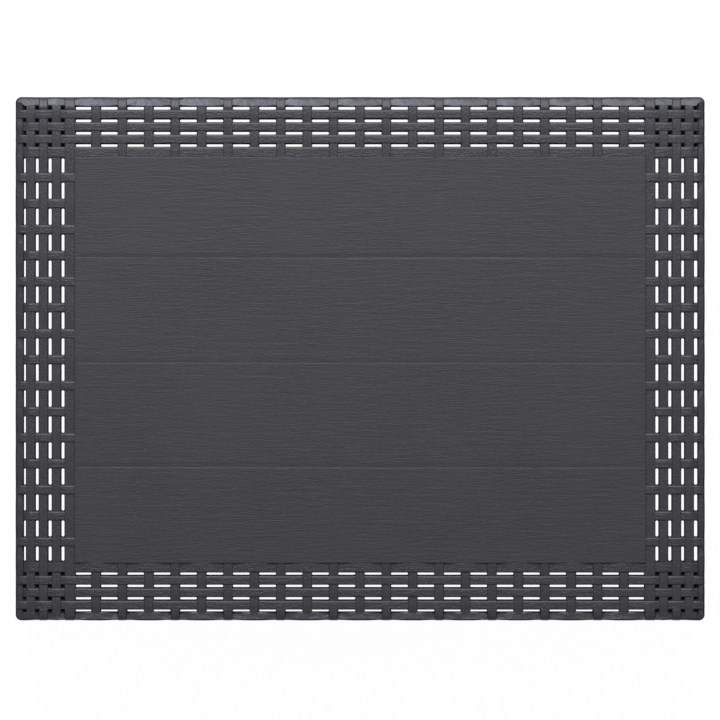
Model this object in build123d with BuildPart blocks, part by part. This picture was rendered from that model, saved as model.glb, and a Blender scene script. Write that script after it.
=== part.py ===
"""A deck storage box: plank walls between four corner legs, under a hinged lid with an open woven border.

Millimetres. +Z is up, X runs along the long side and the hinge is at +Y. The origin is on the ground, under the
middle of the box.
"""

import os
from math import atan2, cos, degrees, radians, sin

from build123d import *

# Overall size
lid_length = 790.0
lid_depth = 600.0
box_height = 450.0

# Woven border of the lid, measured in from the lid's edge
border = 68.0
edge_gap = 11.0
strand_pitch = 14.5
gap_width = 3.7
gap_rows = 4
long_side_gaps = 22
short_side_gaps = 16
cross_strand_width = 11.0
weave_drop = 0.3
weave_dip = 2.0
strand_thickness = 3.7
strand_shoulder = 0.3
strand_draft = 20.0

# Rim, panel and ribs of the lid
skirt_height = 36.0
skirt_wall = 3.0
rim_drop = 0.8
rim_bar = 5.0
plan_radius = 7.0
rim_edge_chamfer = 3.0
panel_thickness = 3.5
plank_width = 120.2
plank_count = 4
plank_shift = -4.8
plank_groove_width = 3.0
plank_groove_depth = 1.2
rib_thickness = 2.5
rib_depth = 16.0
cross_rib_count = 5
rib_clearance = 8.0
drip_rib_inset = 57.5
drip_rib_thickness = 3.0
drip_rib_clearance = 4.0

# Corner legs
leg_inset = 4.5
leg_width = 58.0
leg_foot_width = 44.0
leg_edge_chamfer = 3.0
leg_wall = 3.0
leg_groove_depth = 1.5
lid_seat_gap = 0.3
ground_clearance = 70.0
peg_width = 44.0
peg_height = 11.0
peg_taper = 8.0

# Keyed joints between legs and walls
key_inset = 57.5
key_width = 31.5
key_floor = 6.0
bead_length = 8.0
bead_width = 8.0
neck_length = 3.0
neck_width = 4.0
slide_clearance = 0.3

# Walls and floor
wall_inset = 62.0
wall_depth = 12.0
wall_skin = 3.5
wall_rise = 12.0
wall_board_count = 3
board_groove_width = 3.0
board_groove_depth = 1.2
wall_rib_thickness = 3.0
wall_rail_width = 9.0
long_wall_ribs = 5
end_wall_ribs = 3
ledge_depth = 10.0
sill_thickness = 3.5
floor_thickness = 3.5
floor_clearance = 0.5
floor_rib_thickness = 3.0
floor_rib_depth = 12.0
floor_long_ribs = 4
floor_cross_ribs = 6

# Hinge
hinge_ear_radius = 9.5
hinge_pocket_depth = 13.0
hinge_pocket_gap = 1.0
hinge_block_depth = 20.0
hinge_pin_radius = 4.0
hinge_clearance = 0.05
knuckle_length = 30.0
knuckle_radius = 9.0
knuckle_web_reach = 8.0
knuckle_side_clearance = 0.5
flange_thickness = 4.0
flange_lift = 1.0
open_angle = 100.0
stop_clearance = 0.3

# Feet and screws
foot_height = 4.0
foot_plug_height = 12.0
foot_edge_chamfer = 1.5
screw_radius = 2.0
screw_sides = 8
screw_clearance = 0.05
screw_boss_radius = 4.5
hinge_screw_length = 16.0
hinge_screw_head_radius = 4.0
hinge_screw_head_height = 2.0
lock_screw_head_radius = 4.0
lock_screw_head_height = 2.4
lock_screw_drop = 40.0
lock_screw_step = 20.0

# Levels that several pieces share
half_length = lid_length / 2
half_depth = lid_depth / 2
panel_underside = box_height - panel_thickness
rim_top = box_height - rim_drop
skirt_bottom = box_height - skirt_height
weave_high = box_height - weave_drop
weave_low = weave_high - weave_dip
weave_bottom = weave_low - strand_thickness
drip_rib_bottom = skirt_bottom + drip_rib_clearance
leg_top = skirt_bottom - lid_seat_gap
wall_bottom = ground_clearance
wall_top = leg_top + wall_rise
wall_height = wall_top - wall_bottom
floor_underside = wall_bottom + sill_thickness
rim_width = edge_gap - gap_width / 2
strand_width = strand_pitch - gap_width
inner_edge = edge_gap + strand_pitch * (gap_rows - 1) + gap_width / 2
inner_strand = (inner_edge + border) / 2
panel_length = lid_length - 2 * border
panel_depth = lid_depth - 2 * border
key_face = key_inset + key_width
lock_screw_length = key_face - wall_inset - (wall_depth + bead_width) / 2
weld = 0.5

# Hinge axis: as far from the legs' backs and tops as the ears are round
hinge_y = half_depth - leg_inset - hinge_ear_radius
hinge_z = leg_top - hinge_ear_radius
leg_middle_x = half_length - leg_inset - leg_width / 2
leg_middle_y = half_depth - leg_inset - leg_width / 2

START = Align.MIN
SIDES = {"left": -1, "right": 1}
ENDS = {"front": -1, "rear": 1}


def save(piece, name):
    """Labels a finished piece and writes its STEP file."""
    piece.part.label = name
    export_step(piece.part, f"parts/{name}.step")


def strand_middles(length, gap_count):
    """Middles of the strands across one side of the lid, from edge to edge without the rims."""
    outer = [edge_gap + strand_pitch * (i + 0.5) for i in range(gap_rows - 1)]
    pitch = cross_pitch(length, gap_count)
    crossing = [inner_strand + pitch * k for k in range(gap_count + 1)]
    far = [length - middle for middle in reversed(outer)]
    return [middle - length / 2 for middle in outer + crossing + far]


def cross_pitch(length, gap_count):
    """Pitch of the cross strands along one side, which fill the room between the innermost long strands."""
    return (length - 2 * inner_strand) / gap_count


def raised_crossings():
    """Where a strand lies on top of the weave: a list of columns over rows and one of rows over columns."""
    column_tops, row_tops = [], []
    for c, x in enumerate(columns):
        for r, y in enumerate(rows):
            beside_long_edge = not gap_rows <= r < len(rows) - gap_rows
            beside_short_edge = not gap_rows <= c < len(columns) - gap_rows
            if (c + r) % 2 == 0 and beside_long_edge:
                column_tops.append((x, y))
            if (c + r) % 2 == 1 and beside_short_edge:
                row_tops.append((x, y))
    return column_tops, row_tops


columns = strand_middles(lid_length, long_side_gaps)
rows = strand_middles(lid_depth, short_side_gaps)

# Where the hinge knuckles are screwed up into the lid, under crossings of the weave
screw_columns = [columns[0], columns[gap_rows - 2]]
hinge_screw_y = rows[-2]
hinge_screw_spots = [(sign * x, hinge_screw_y) for sign in SIDES.values() for x in screw_columns]
flange_bottom = skirt_bottom + flange_lift
flange_top = flange_bottom + flange_thickness
head_taper = degrees(atan2(hinge_screw_head_radius - screw_radius, hinge_screw_head_height))


def build_lid():
    """The lid: rim, plank panel, ribs and the woven border that joins them, as one moulding."""
    with BuildPart() as lid:
        # Rim: a block rounded over along its top edge, then cleared inside
        with BuildSketch(Plane.XY.offset(skirt_bottom)):
            RectangleRounded(lid_length, lid_depth, plan_radius)
        extrude(amount=rim_top - skirt_bottom)
        chamfer(lid.faces().sort_by(Axis.Z)[-1].edges(), rim_edge_chamfer)
        with BuildSketch(Plane.XY.offset(skirt_bottom)):
            Rectangle(lid_length - 2 * skirt_wall, lid_depth - 2 * skirt_wall)
        extrude(amount=rim_top - rim_bar - skirt_bottom, mode=Mode.SUBTRACT)
        with BuildSketch(Plane.XY.offset(skirt_bottom)):
            Rectangle(lid_length - 2 * rim_width, lid_depth - 2 * rim_width)
        extrude(amount=skirt_height, mode=Mode.SUBTRACT)

        # Plank panel with a groove at each joint
        with BuildSketch(Plane.XY.offset(panel_underside)):
            Rectangle(panel_length, panel_depth)
        extrude(amount=panel_thickness)
        joints = [plank_width * (i - plank_count / 2) + plank_shift for i in range(1, plank_count)]
        with BuildSketch(Plane.YZ):
            for y in joints:
                with BuildLine():
                    Polyline(
                        (y - plank_groove_width / 2, box_height),
                        (y, box_height - plank_groove_depth),
                        (y + plank_groove_width / 2, box_height),
                        close=True,
                    )
                make_face()
        extrude(amount=panel_length / 2, both=True, mode=Mode.SUBTRACT)

        # Stiffening ribs under the panel, short of the walls
        rib_reach = key_face + rib_clearance
        rib_length = lid_length - 2 * rib_reach
        rib_span = lid_depth - 2 * rib_reach
        with BuildSketch(Plane.XY.offset(panel_underside - rib_depth)):
            for y in joints:
                with Locations((0, y)):
                    Rectangle(rib_length, rib_thickness)
            with GridLocations(rib_length / (cross_rib_count - 1), 0, cross_rib_count, 1):
                Rectangle(rib_thickness, rib_span)
        extrude(amount=rib_depth)

        # Drip ribs just outside the walls, run on to the rim so that they close the corners
        drip_x = half_length - drip_rib_inset - drip_rib_thickness / 2
        drip_y = half_depth - drip_rib_inset - drip_rib_thickness / 2
        with BuildSketch(Plane.XY.offset(drip_rib_bottom)):
            with GridLocations(2 * drip_x, 0, 2, 1):
                Rectangle(drip_rib_thickness, lid_depth - 2 * skirt_wall + weld)
            with GridLocations(0, 2 * drip_y, 1, 2):
                Rectangle(lid_length - 2 * skirt_wall + weld, drip_rib_thickness)
        extrude(amount=weave_bottom + weld - drip_rib_bottom)

        # Screw bosses over the hinge knuckles
        with BuildSketch(Plane.XY.offset(flange_top)):
            with Locations(*hinge_screw_spots):
                RegularPolygon(screw_boss_radius, screw_sides)
                RegularPolygon(screw_radius + screw_clearance, screw_sides, mode=Mode.SUBTRACT)
        extrude(amount=weave_bottom + weld - flange_top)

        # Woven border: a plate between rim and panel with rows of slots on all four sides
        slot_depth = edge_gap + strand_pitch * (gap_rows - 1) / 2
        long_pitch = cross_pitch(lid_length, long_side_gaps)
        short_pitch = cross_pitch(lid_depth, short_side_gaps)
        with BuildSketch(Plane.XY.offset(weave_bottom)):
            Rectangle(lid_length - 2 * rim_width + weld, lid_depth - 2 * rim_width + weld)
            Rectangle(panel_length - weld, panel_depth - weld, mode=Mode.SUBTRACT)
            with Locations((0, half_depth - slot_depth), (0, slot_depth - half_depth)):
                with GridLocations(long_pitch, strand_pitch, long_side_gaps, gap_rows):
                    Rectangle(long_pitch - cross_strand_width, gap_width, mode=Mode.SUBTRACT)
            with Locations((half_length - slot_depth, 0), (slot_depth - half_length, 0)):
                with GridLocations(strand_pitch, short_pitch, gap_rows, short_side_gaps):
                    Rectangle(gap_width, short_pitch - cross_strand_width, mode=Mode.SUBTRACT)
        extrude(amount=strand_thickness)

        # Strands that lie on top at their crossings, raised as drafted pads
        top_width = strand_width - 2 * strand_shoulder
        top_length = strand_pitch + gap_width - 2 * strand_shoulder
        column_tops, row_tops = raised_crossings()
        with BuildSketch(Plane.XY.offset(weave_low)):
            with Locations(*column_tops):
                Rectangle(top_width, top_length)
            with Locations(*row_tops):
                Rectangle(top_length, top_width)
        extrude(amount=weave_dip, taper=strand_draft)
    save(lid, "lid")


def build_knuckle(side):
    """A hinge block: a flange screwed up inside the lid's rear corner, with a barrel hung below it."""
    sign = SIDES[side]
    corner_room = drip_rib_inset - skirt_wall - 2 * knuckle_side_clearance
    corner_middle = (drip_rib_inset + skirt_wall) / 2
    with BuildPart() as knuckle:
        with BuildSketch(Plane.XY.offset(flange_bottom)):
            with Locations((sign * (half_length - corner_middle), half_depth - corner_middle)):
                Rectangle(corner_room, corner_room)
        extrude(amount=flange_thickness)
        with BuildSketch(Plane.YZ.offset(sign * leg_middle_x)):
            with Locations((hinge_y, hinge_z)):
                Circle(knuckle_radius)
            with Locations((hinge_y, (hinge_z + flange_bottom + weld) / 2)):
                Rectangle(2 * knuckle_web_reach, flange_bottom + weld - hinge_z)
        extrude(amount=knuckle_length / 2, both=True)
        with BuildSketch(Plane.YZ.offset(sign * leg_middle_x)):
            with Locations((hinge_y, hinge_z)):
                Circle(hinge_pin_radius + hinge_clearance)
        extrude(amount=knuckle_length / 2, both=True, mode=Mode.SUBTRACT)
        spots = [(x, y) for x, y in hinge_screw_spots if x * sign > 0]
        with BuildSketch(Plane.XY.offset(flange_bottom)):
            with Locations(*spots):
                RegularPolygon(screw_radius + screw_clearance, screw_sides)
        extrude(amount=flange_thickness, mode=Mode.SUBTRACT)
        with BuildSketch(Plane.XY.offset(flange_bottom)):
            with Locations(*spots):
                RegularPolygon(hinge_screw_head_radius + screw_clearance, screw_sides)
        extrude(amount=hinge_screw_head_height, taper=head_taper, mode=Mode.SUBTRACT)
    save(knuckle, f"{side}_hinge_knuckle")


def build_hinge_screws():
    """Countersunk screws that hold both knuckles, flush with the undersides of the flanges."""
    with BuildPart() as screws:
        with BuildSketch(Plane.XY.offset(flange_bottom)):
            with Locations(*hinge_screw_spots):
                RegularPolygon(screw_radius, screw_sides)
        extrude(amount=hinge_screw_length)
        with BuildSketch(Plane.XY.offset(flange_bottom)):
            with Locations(*hinge_screw_spots):
                RegularPolygon(hinge_screw_head_radius, screw_sides)
        extrude(amount=hinge_screw_head_height, taper=head_taper)
    save(screws, "hinge_screws")


def build_hinge_pin(side):
    """A plain pin through both ears of a rear leg and the knuckle between them."""
    with BuildPart() as pin:
        with BuildSketch(Plane.YZ.offset(SIDES[side] * leg_middle_x)):
            with Locations((hinge_y, hinge_z)):
                Circle(hinge_pin_radius)
        extrude(amount=leg_width / 2, both=True)
    save(pin, f"{side}_hinge_pin")


def lock_screw_planes(side, end):
    """Seats of a leg's two lock screws on its key block, facing out: the long wall's and the end wall's."""
    sx, sy = SIDES[side], ENDS[end]
    bead_middle = key_face - neck_length - bead_length / 2
    x, y = half_length - bead_middle, half_depth - bead_middle
    height = leg_top - lock_screw_drop
    long_wall = Plane(origin=(sx * x, sy * (half_depth - key_face), height), z_dir=(0, sy, 0))
    lower = height - lock_screw_step
    end_wall = Plane(origin=(sx * (half_length - key_face), sy * y, lower), z_dir=(sx, 0, 0))
    return long_wall, end_wall


def build_lock_screws():
    """Pan-head screws, two in each leg, that clamp the walls' beads in their grooves."""
    seats = [plane for side in SIDES for end in ENDS for plane in lock_screw_planes(side, end)]
    with BuildPart() as screws:
        with BuildSketch(*seats):
            RegularPolygon(screw_radius, screw_sides)
        extrude(amount=lock_screw_length)
        with BuildSketch(*seats):
            RegularPolygon(lock_screw_head_radius, screw_sides)
        extrude(amount=-lock_screw_head_height)
    save(screws, "wall_lock_screws")


def leg_section(height, width, side, end, shrink=0.0):
    """A square section of a leg at a height, against the leg's two outer faces or set in from them."""
    sx, sy = SIDES[side], ENDS[end]
    reach = leg_inset + width / 2
    with BuildSketch(Plane.XY.offset(height)) as section:
        with Locations((sx * (half_length - reach), sy * (half_depth - reach))):
            Rectangle(width - 2 * shrink, width - 2 * shrink)
        if not shrink:
            chamfer(section.vertices(), leg_edge_chamfer)
    return section.sketch


def cut_leg_taper(side, end):
    """Tapers a leg's foot on its two inner sides, below the walls."""
    for plane, sign, half in ((Plane.YZ, ENDS[end], half_depth), (Plane.XZ, SIDES[side], half_length)):
        inner_face = sign * (half - leg_inset - leg_width)
        foot_face = sign * (half - leg_inset - leg_foot_width)
        with BuildSketch(plane) as wedge:
            with BuildLine():
                Polyline(
                    (inner_face, ground_clearance),
                    (inner_face, foot_height),
                    (foot_face, foot_height),
                    close=True,
                )
            make_face()
        extrude(wedge.sketch, amount=lid_length, both=True, mode=Mode.SUBTRACT)


def cut_hinge(side):
    """Cuts a rear leg's top for the hinge: round ears, the stop, the pocket between them and the pin's bore."""
    middle = Plane.YZ.offset(SIDES[side] * leg_middle_x)
    clear = 2 * hinge_ear_radius
    with BuildSketch(middle) as beyond_ears:
        with Locations((hinge_y, hinge_z)):
            Rectangle(clear, clear, align=(START, START))
            Circle(hinge_ear_radius, mode=Mode.SUBTRACT)
    extrude(beyond_ears.sketch, amount=leg_width / 2, both=True, mode=Mode.SUBTRACT)

    # Fully open, the lid's underside lies on this face and its rear edge clears the one below
    swing = radians(open_angle)
    drop = skirt_bottom - hinge_z - stop_clearance
    reach = half_depth - hinge_y + stop_clearance
    upper = (hinge_y + drop * sin(swing), hinge_z + drop * cos(swing))
    lower = (upper[0] + reach * cos(swing), upper[1] - reach * sin(swing))
    outer = (lower[0] + clear * sin(swing), lower[1] + clear * cos(swing))
    with BuildSketch(middle) as beyond_stop:
        with BuildLine():
            Polyline(upper, lower, outer, (outer[0], upper[1]), close=True)
        make_face()
    extrude(beyond_stop.sketch, amount=leg_width / 2, both=True, mode=Mode.SUBTRACT)

    with BuildSketch(middle) as pocket:
        with Locations((hinge_y - knuckle_radius - hinge_pocket_gap, hinge_z - hinge_pocket_depth)):
            Rectangle(2 * clear, 2 * clear, align=(START, START))
    extrude(pocket.sketch, amount=knuckle_length / 2 + knuckle_side_clearance, both=True, mode=Mode.SUBTRACT)
    with BuildSketch(middle) as bore:
        with Locations((hinge_y, hinge_z)):
            Circle(hinge_pin_radius + hinge_clearance)
    extrude(bore.sketch, amount=leg_width / 2, both=True, mode=Mode.SUBTRACT)


def build_leg(side, end):
    """A hollow leg with a tapered foot and the key block that two walls slide into."""
    sx, sy = SIDES[side], ENDS[end]
    with BuildPart() as leg:
        extrude(leg_section(foot_height, leg_width, side, end), amount=leg_top - foot_height)
        cut_leg_taper(side, end)
        for width, bottom, top in (
            (leg_foot_width, foot_height, ground_clearance),
            (leg_width, ground_clearance, leg_top - leg_wall),
        ):
            hollow = leg_section(bottom, width, side, end, leg_wall)
            extrude(hollow, amount=top - bottom, mode=Mode.SUBTRACT)

        # Grooves that carry the lid's rows of gaps on down both outer faces
        gap_lines = [edge_gap + strand_pitch * i for i in range(gap_rows)]
        with BuildSketch(Plane.XY.offset(foot_height)):
            for gap in gap_lines:
                with Locations((sx * (half_length - gap), sy * (half_depth - leg_inset))):
                    Rectangle(gap_width, 2 * leg_groove_depth)
                with Locations((sx * (half_length - leg_inset), sy * (half_depth - gap))):
                    Rectangle(2 * leg_groove_depth, gap_width)
        extrude(amount=leg_top - foot_height, mode=Mode.SUBTRACT)

        # Key block with a groove for each wall's bead
        key_middle = key_inset + key_width / 2
        with BuildSketch(Plane.XY.offset(wall_bottom - key_floor)):
            with Locations((sx * (half_length - key_middle), sy * (half_depth - key_middle))):
                Rectangle(key_width, key_width)
        extrude(amount=leg_top - wall_bottom + key_floor)
        with BuildSketch(Plane.XY.offset(wall_bottom)):
            across = wall_inset + wall_depth / 2
            for start, length, width in (
                (key_face - neck_length - bead_length, bead_length, bead_width),
                (key_face - neck_length, neck_length, neck_width),
            ):
                along = start + length / 2
                room = length + 2 * slide_clearance
                width += 2 * slide_clearance
                with Locations((sx * (half_length - along), sy * (half_depth - across))):
                    Rectangle(room, width)
                with Locations((sx * (half_length - across), sy * (half_depth - along))):
                    Rectangle(width, room)
        extrude(amount=wall_top - wall_bottom, mode=Mode.SUBTRACT)
        with BuildSketch(*lock_screw_planes(side, end)):
            RegularPolygon(screw_radius + screw_clearance, screw_sides)
        extrude(amount=lock_screw_length, mode=Mode.SUBTRACT)

        if end == "rear":
            block_front = hinge_y - knuckle_radius - hinge_pocket_gap - leg_wall
            block_back = half_depth - leg_inset - leg_wall + weld
            with BuildSketch(Plane.XY.offset(hinge_z - hinge_block_depth)):
                with Locations((sx * leg_middle_x, (block_front + block_back) / 2)):
                    Rectangle(leg_width - 2 * leg_wall + 2 * weld, block_back - block_front)
            extrude(amount=leg_top - hinge_z + hinge_block_depth)
            cut_hinge(side)
        else:
            with BuildSketch(Plane.XY.offset(leg_top)):
                with Locations((sx * leg_middle_x, sy * leg_middle_y)):
                    Rectangle(peg_width, peg_width)
            extrude(amount=peg_height, taper=peg_taper)
    save(leg, f"{end}_{side}_leg")


def build_foot(side, end):
    """A glide with a plug that is pushed up into a leg."""
    plug_shrink = leg_wall + slide_clearance
    with BuildPart() as foot:
        extrude(leg_section(0.0, leg_foot_width, side, end), amount=foot_height)
        chamfer(foot.faces().sort_by(Axis.Z)[0].edges(), foot_edge_chamfer)
        extrude(leg_section(foot_height, leg_foot_width, side, end, plug_shrink), amount=foot_plug_height)
    save(foot, f"{end}_{side}_foot")


def section_plane(plane):
    """The plane across a wall's length at its middle, with x into the box and y up."""
    return Plane(origin=plane.origin, x_dir=plane.y_dir, z_dir=plane.x_dir)


def build_wall(name, half_side, plane, rib_count):
    """A wall: boards outside, ribs and rails inside and a bead at each end.

    The plane's origin is on the wall's outer face at ground level, with x along the wall and y into the box.
    """
    half_body = half_side - key_face - slide_clearance
    section = section_plane(plane)
    board_height = wall_height / wall_board_count
    joints = [wall_bottom + board_height * i for i in range(1, wall_board_count)]
    with BuildPart() as wall:
        # Section: skin, top and bottom rails, a rib behind each board joint, and the grooves between boards
        with BuildSketch(section):
            with Locations((0, wall_bottom)):
                Rectangle(wall_skin, wall_height, align=(START, START))
                Rectangle(wall_depth, wall_rib_thickness, align=(START, START))
            with Locations((0, wall_top)):
                Rectangle(wall_depth, wall_rib_thickness, align=(START, Align.MAX))
            with Locations(*[(0, z) for z in joints]):
                Rectangle(wall_depth, wall_rib_thickness, align=(START, Align.CENTER))
            for z in joints:
                with BuildLine():
                    Polyline(
                        (0, z - board_groove_width / 2),
                        (board_groove_depth, z),
                        (0, z + board_groove_width / 2),
                        close=True,
                    )
                make_face(mode=Mode.SUBTRACT)
        extrude(amount=half_body, both=True)

        # End rails and upright ribs
        rail_spacing = 2 * half_body - wall_rail_width
        with BuildSketch(plane.offset(wall_bottom)):
            with GridLocations(rail_spacing, 0, 2, 1):
                with Locations((0, (wall_skin + wall_depth) / 2)):
                    Rectangle(wall_rail_width, wall_depth - wall_skin)
            with GridLocations(rail_spacing / (rib_count + 1), 0, rib_count, 1):
                with Locations((0, (wall_skin + wall_depth) / 2)):
                    Rectangle(wall_rib_thickness, wall_depth - wall_skin)
        extrude(amount=wall_height)

        # Beads that slide down into the legs
        neck_end = half_side - key_face + neck_length
        with BuildSketch(plane.offset(wall_bottom)):
            with Locations((0, wall_depth / 2)):
                Rectangle(2 * neck_end, neck_width)
                with GridLocations(2 * neck_end + bead_length, 0, 2, 1):
                    Rectangle(bead_length, bead_width)
                Rectangle(2 * half_body, neck_width, mode=Mode.SUBTRACT)
        extrude(amount=leg_top - wall_bottom)
    save(wall, name)


def build_sill(name, half_side, plane):
    """A stepped sill clipped on under a wall, whose upper step is the ledge that carries the floor.

    The plane is the wall's own.
    """
    with BuildPart() as sill:
        with BuildSketch(section_plane(plane)):
            with Locations((0, wall_bottom - sill_thickness)):
                Rectangle(wall_depth + ledge_depth, sill_thickness, align=(START, START))
            with Locations((wall_depth, wall_bottom)):
                Rectangle(ledge_depth, sill_thickness, align=(START, START))
        extrude(amount=half_side - key_face - slide_clearance, both=True)
    save(sill, name)


def build_walls():
    """The four walls and the sills under them."""
    outer_x = half_length - wall_inset
    outer_y = half_depth - wall_inset
    for end, sign in ENDS.items():
        plane = Plane(origin=(0, sign * outer_y, 0), x_dir=(-sign, 0, 0), z_dir=(0, 0, 1))
        build_wall(f"{end}_wall", half_length, plane, long_wall_ribs)
        build_sill(f"{end}_sill", half_length, plane)
    for side, sign in SIDES.items():
        plane = Plane(origin=(sign * outer_x, 0, 0), x_dir=(0, sign, 0), z_dir=(0, 0, 1))
        build_wall(f"{side}_wall", half_depth, plane, end_wall_ribs)
        build_sill(f"{side}_sill", half_depth, plane)


def build_floor():
    """The floor: a plate on the sills' ledges, cut out round the legs' key blocks, with ribs under it."""
    edge = wall_inset + wall_depth + floor_clearance
    notch = key_face + floor_clearance - edge
    rib_edge = wall_inset + wall_depth + ledge_depth + floor_clearance
    floor_length = lid_length - 2 * edge
    floor_depth = lid_depth - 2 * edge
    rib_length = lid_length - 2 * rib_edge - 2 * notch
    rib_span = lid_depth - 2 * rib_edge - 2 * notch
    with BuildPart() as floor:
        with BuildSketch(Plane.XY.offset(floor_underside)):
            Rectangle(floor_length, floor_depth)
            with GridLocations(floor_length - notch, floor_depth - notch, 2, 2):
                Rectangle(notch, notch, mode=Mode.SUBTRACT)
        extrude(amount=floor_thickness)
        with BuildSketch(Plane.XY.offset(floor_underside - floor_rib_depth)):
            with GridLocations(0, rib_span / (floor_long_ribs - 1), 1, floor_long_ribs):
                Rectangle(rib_length, floor_rib_thickness)
            with GridLocations(rib_length / (floor_cross_ribs - 1), 0, floor_cross_ribs, 1):
                Rectangle(floor_rib_thickness, rib_span)
        extrude(amount=floor_rib_depth)
    save(floor, "floor_panel")


if __name__ == "__main__":
    os.makedirs("parts", exist_ok=True)
    build_lid()
    build_hinge_screws()
    build_lock_screws()
    for side in SIDES:
        build_knuckle(side)
        build_hinge_pin(side)
        for end in ENDS:
            build_leg(side, end)
            build_foot(side, end)
    build_walls()
    build_floor()
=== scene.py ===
import logging
import math
from dataclasses import dataclass
from enum import Enum
from functools import partial
from typing import Callable, NamedTuple

import bmesh
import bpy
import numpy as np
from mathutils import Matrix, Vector


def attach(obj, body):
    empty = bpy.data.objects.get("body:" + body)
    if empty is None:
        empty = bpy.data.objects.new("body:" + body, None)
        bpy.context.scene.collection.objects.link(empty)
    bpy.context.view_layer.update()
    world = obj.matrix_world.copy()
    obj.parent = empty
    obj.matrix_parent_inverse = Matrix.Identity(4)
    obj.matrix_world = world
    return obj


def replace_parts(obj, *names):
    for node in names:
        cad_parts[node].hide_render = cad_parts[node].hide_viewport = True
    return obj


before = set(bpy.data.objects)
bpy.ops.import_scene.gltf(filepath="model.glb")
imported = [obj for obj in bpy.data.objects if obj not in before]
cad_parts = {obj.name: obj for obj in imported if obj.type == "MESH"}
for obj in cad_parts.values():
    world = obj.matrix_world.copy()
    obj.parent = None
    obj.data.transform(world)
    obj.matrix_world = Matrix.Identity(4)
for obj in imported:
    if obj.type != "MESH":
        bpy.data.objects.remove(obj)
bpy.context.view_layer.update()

log = logging.getLogger("deck_box")

# Sizes are in millimetres and meshes in metres
MM = 0.001

# Points closer than this are one point, in metres
WELD = 0.000002

# Long strands on each side of the woven border
LONG_STRANDS = 4

# Places of the hinge screws in the lid's right corner; the left has the same
HINGE_SPOTS = ((376.75, 267.25), (347.75, 267.25))


class Side(Enum):
    """The box's two ends along X, as signs."""

    LEFT = -1
    RIGHT = 1


class End(Enum):
    """The box's front and its hinge side along Y, as signs."""

    FRONT = -1
    REAR = 1


class Run(Enum):
    """Which way a strand of the lid runs, as the index of its axis."""

    ROW = 0
    COLUMN = 1


class Coordinates(Enum):
    """Where a finish takes its grain from: the object's own axes, or the run of a strand."""

    OBJECT = "Object"
    STRAND = "UV"


class NodeGraph:
    """A material's nodes, added and linked in short calls."""

    def __init__(self, name: str) -> None:
        """Starts an empty material.

        Args:
            name: The material's name.
        """
        self.material = bpy.data.materials.new(name)
        self.material.use_nodes = True
        self.tree = self.material.node_tree
        self.tree.nodes.clear()

    def add(self, kind: str, inputs: dict | None = None, **settings: object) -> bpy.types.Node:
        """Adds a node.

        Args:
            kind: The node's type.
            inputs: Sockets by name or index, with a value or another node's output to link.
            **settings: The node's own properties.

        Returns:
            The new node.
        """
        node = self.tree.nodes.new(kind)
        for key, value in settings.items():
            setattr(node, key, value)
        for key, value in (inputs or {}).items():
            if isinstance(value, bpy.types.NodeSocket):
                self.tree.links.new(value, node.inputs[key])
            else:
                node.inputs[key].default_value = value
        return node

    def noise(self, place: bpy.types.NodeSocket, scale: float, detail: float) -> bpy.types.Node:
        """Adds a noise texture at a scale, read at a place."""
        return self.add("ShaderNodeTexNoise", {"Vector": place, "Scale": scale, "Detail": detail})

    def mark(self, name: str) -> bpy.types.NodeSocket:
        """Adds the share that a mesh's points are marked with under a name."""
        return self.add("ShaderNodeAttribute", attribute_name=name).outputs["Fac"]

    def spread(self, share: bpy.types.NodeSocket, low: float, high: float) -> bpy.types.NodeSocket:
        """Maps a share from 0 to 1 on to the range between two values."""
        mapped = self.add("ShaderNodeMapRange", {"Value": share, "To Min": low, "To Max": high})
        return mapped.outputs["Result"]

    def blend(
        self, factor: object, low: object, high: object, blend_type: str = "MIX"
    ) -> bpy.types.NodeSocket:
        """Mixes a second colour into a first by a factor, each of them a value or a socket."""
        # The node's sockets for colours come after those for numbers and vectors
        sockets = {0: factor, 6: low, 7: high}
        return self.add("ShaderNodeMix", sockets, data_type="RGBA", blend_type=blend_type).outputs[2]

    def finish(self, shader: bpy.types.Node) -> bpy.types.Material:
        """Links the last shader to the output and gives the material back."""
        self.add("ShaderNodeOutputMaterial", {"Surface": shader.outputs[0]})
        return self.material


def toned(colour: tuple[float, float, float], share: float) -> tuple[float, float, float, float]:
    """A colour made darker or lighter by a share, with full alpha."""
    return (*(channel * share for channel in colour), 1.0)


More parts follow.
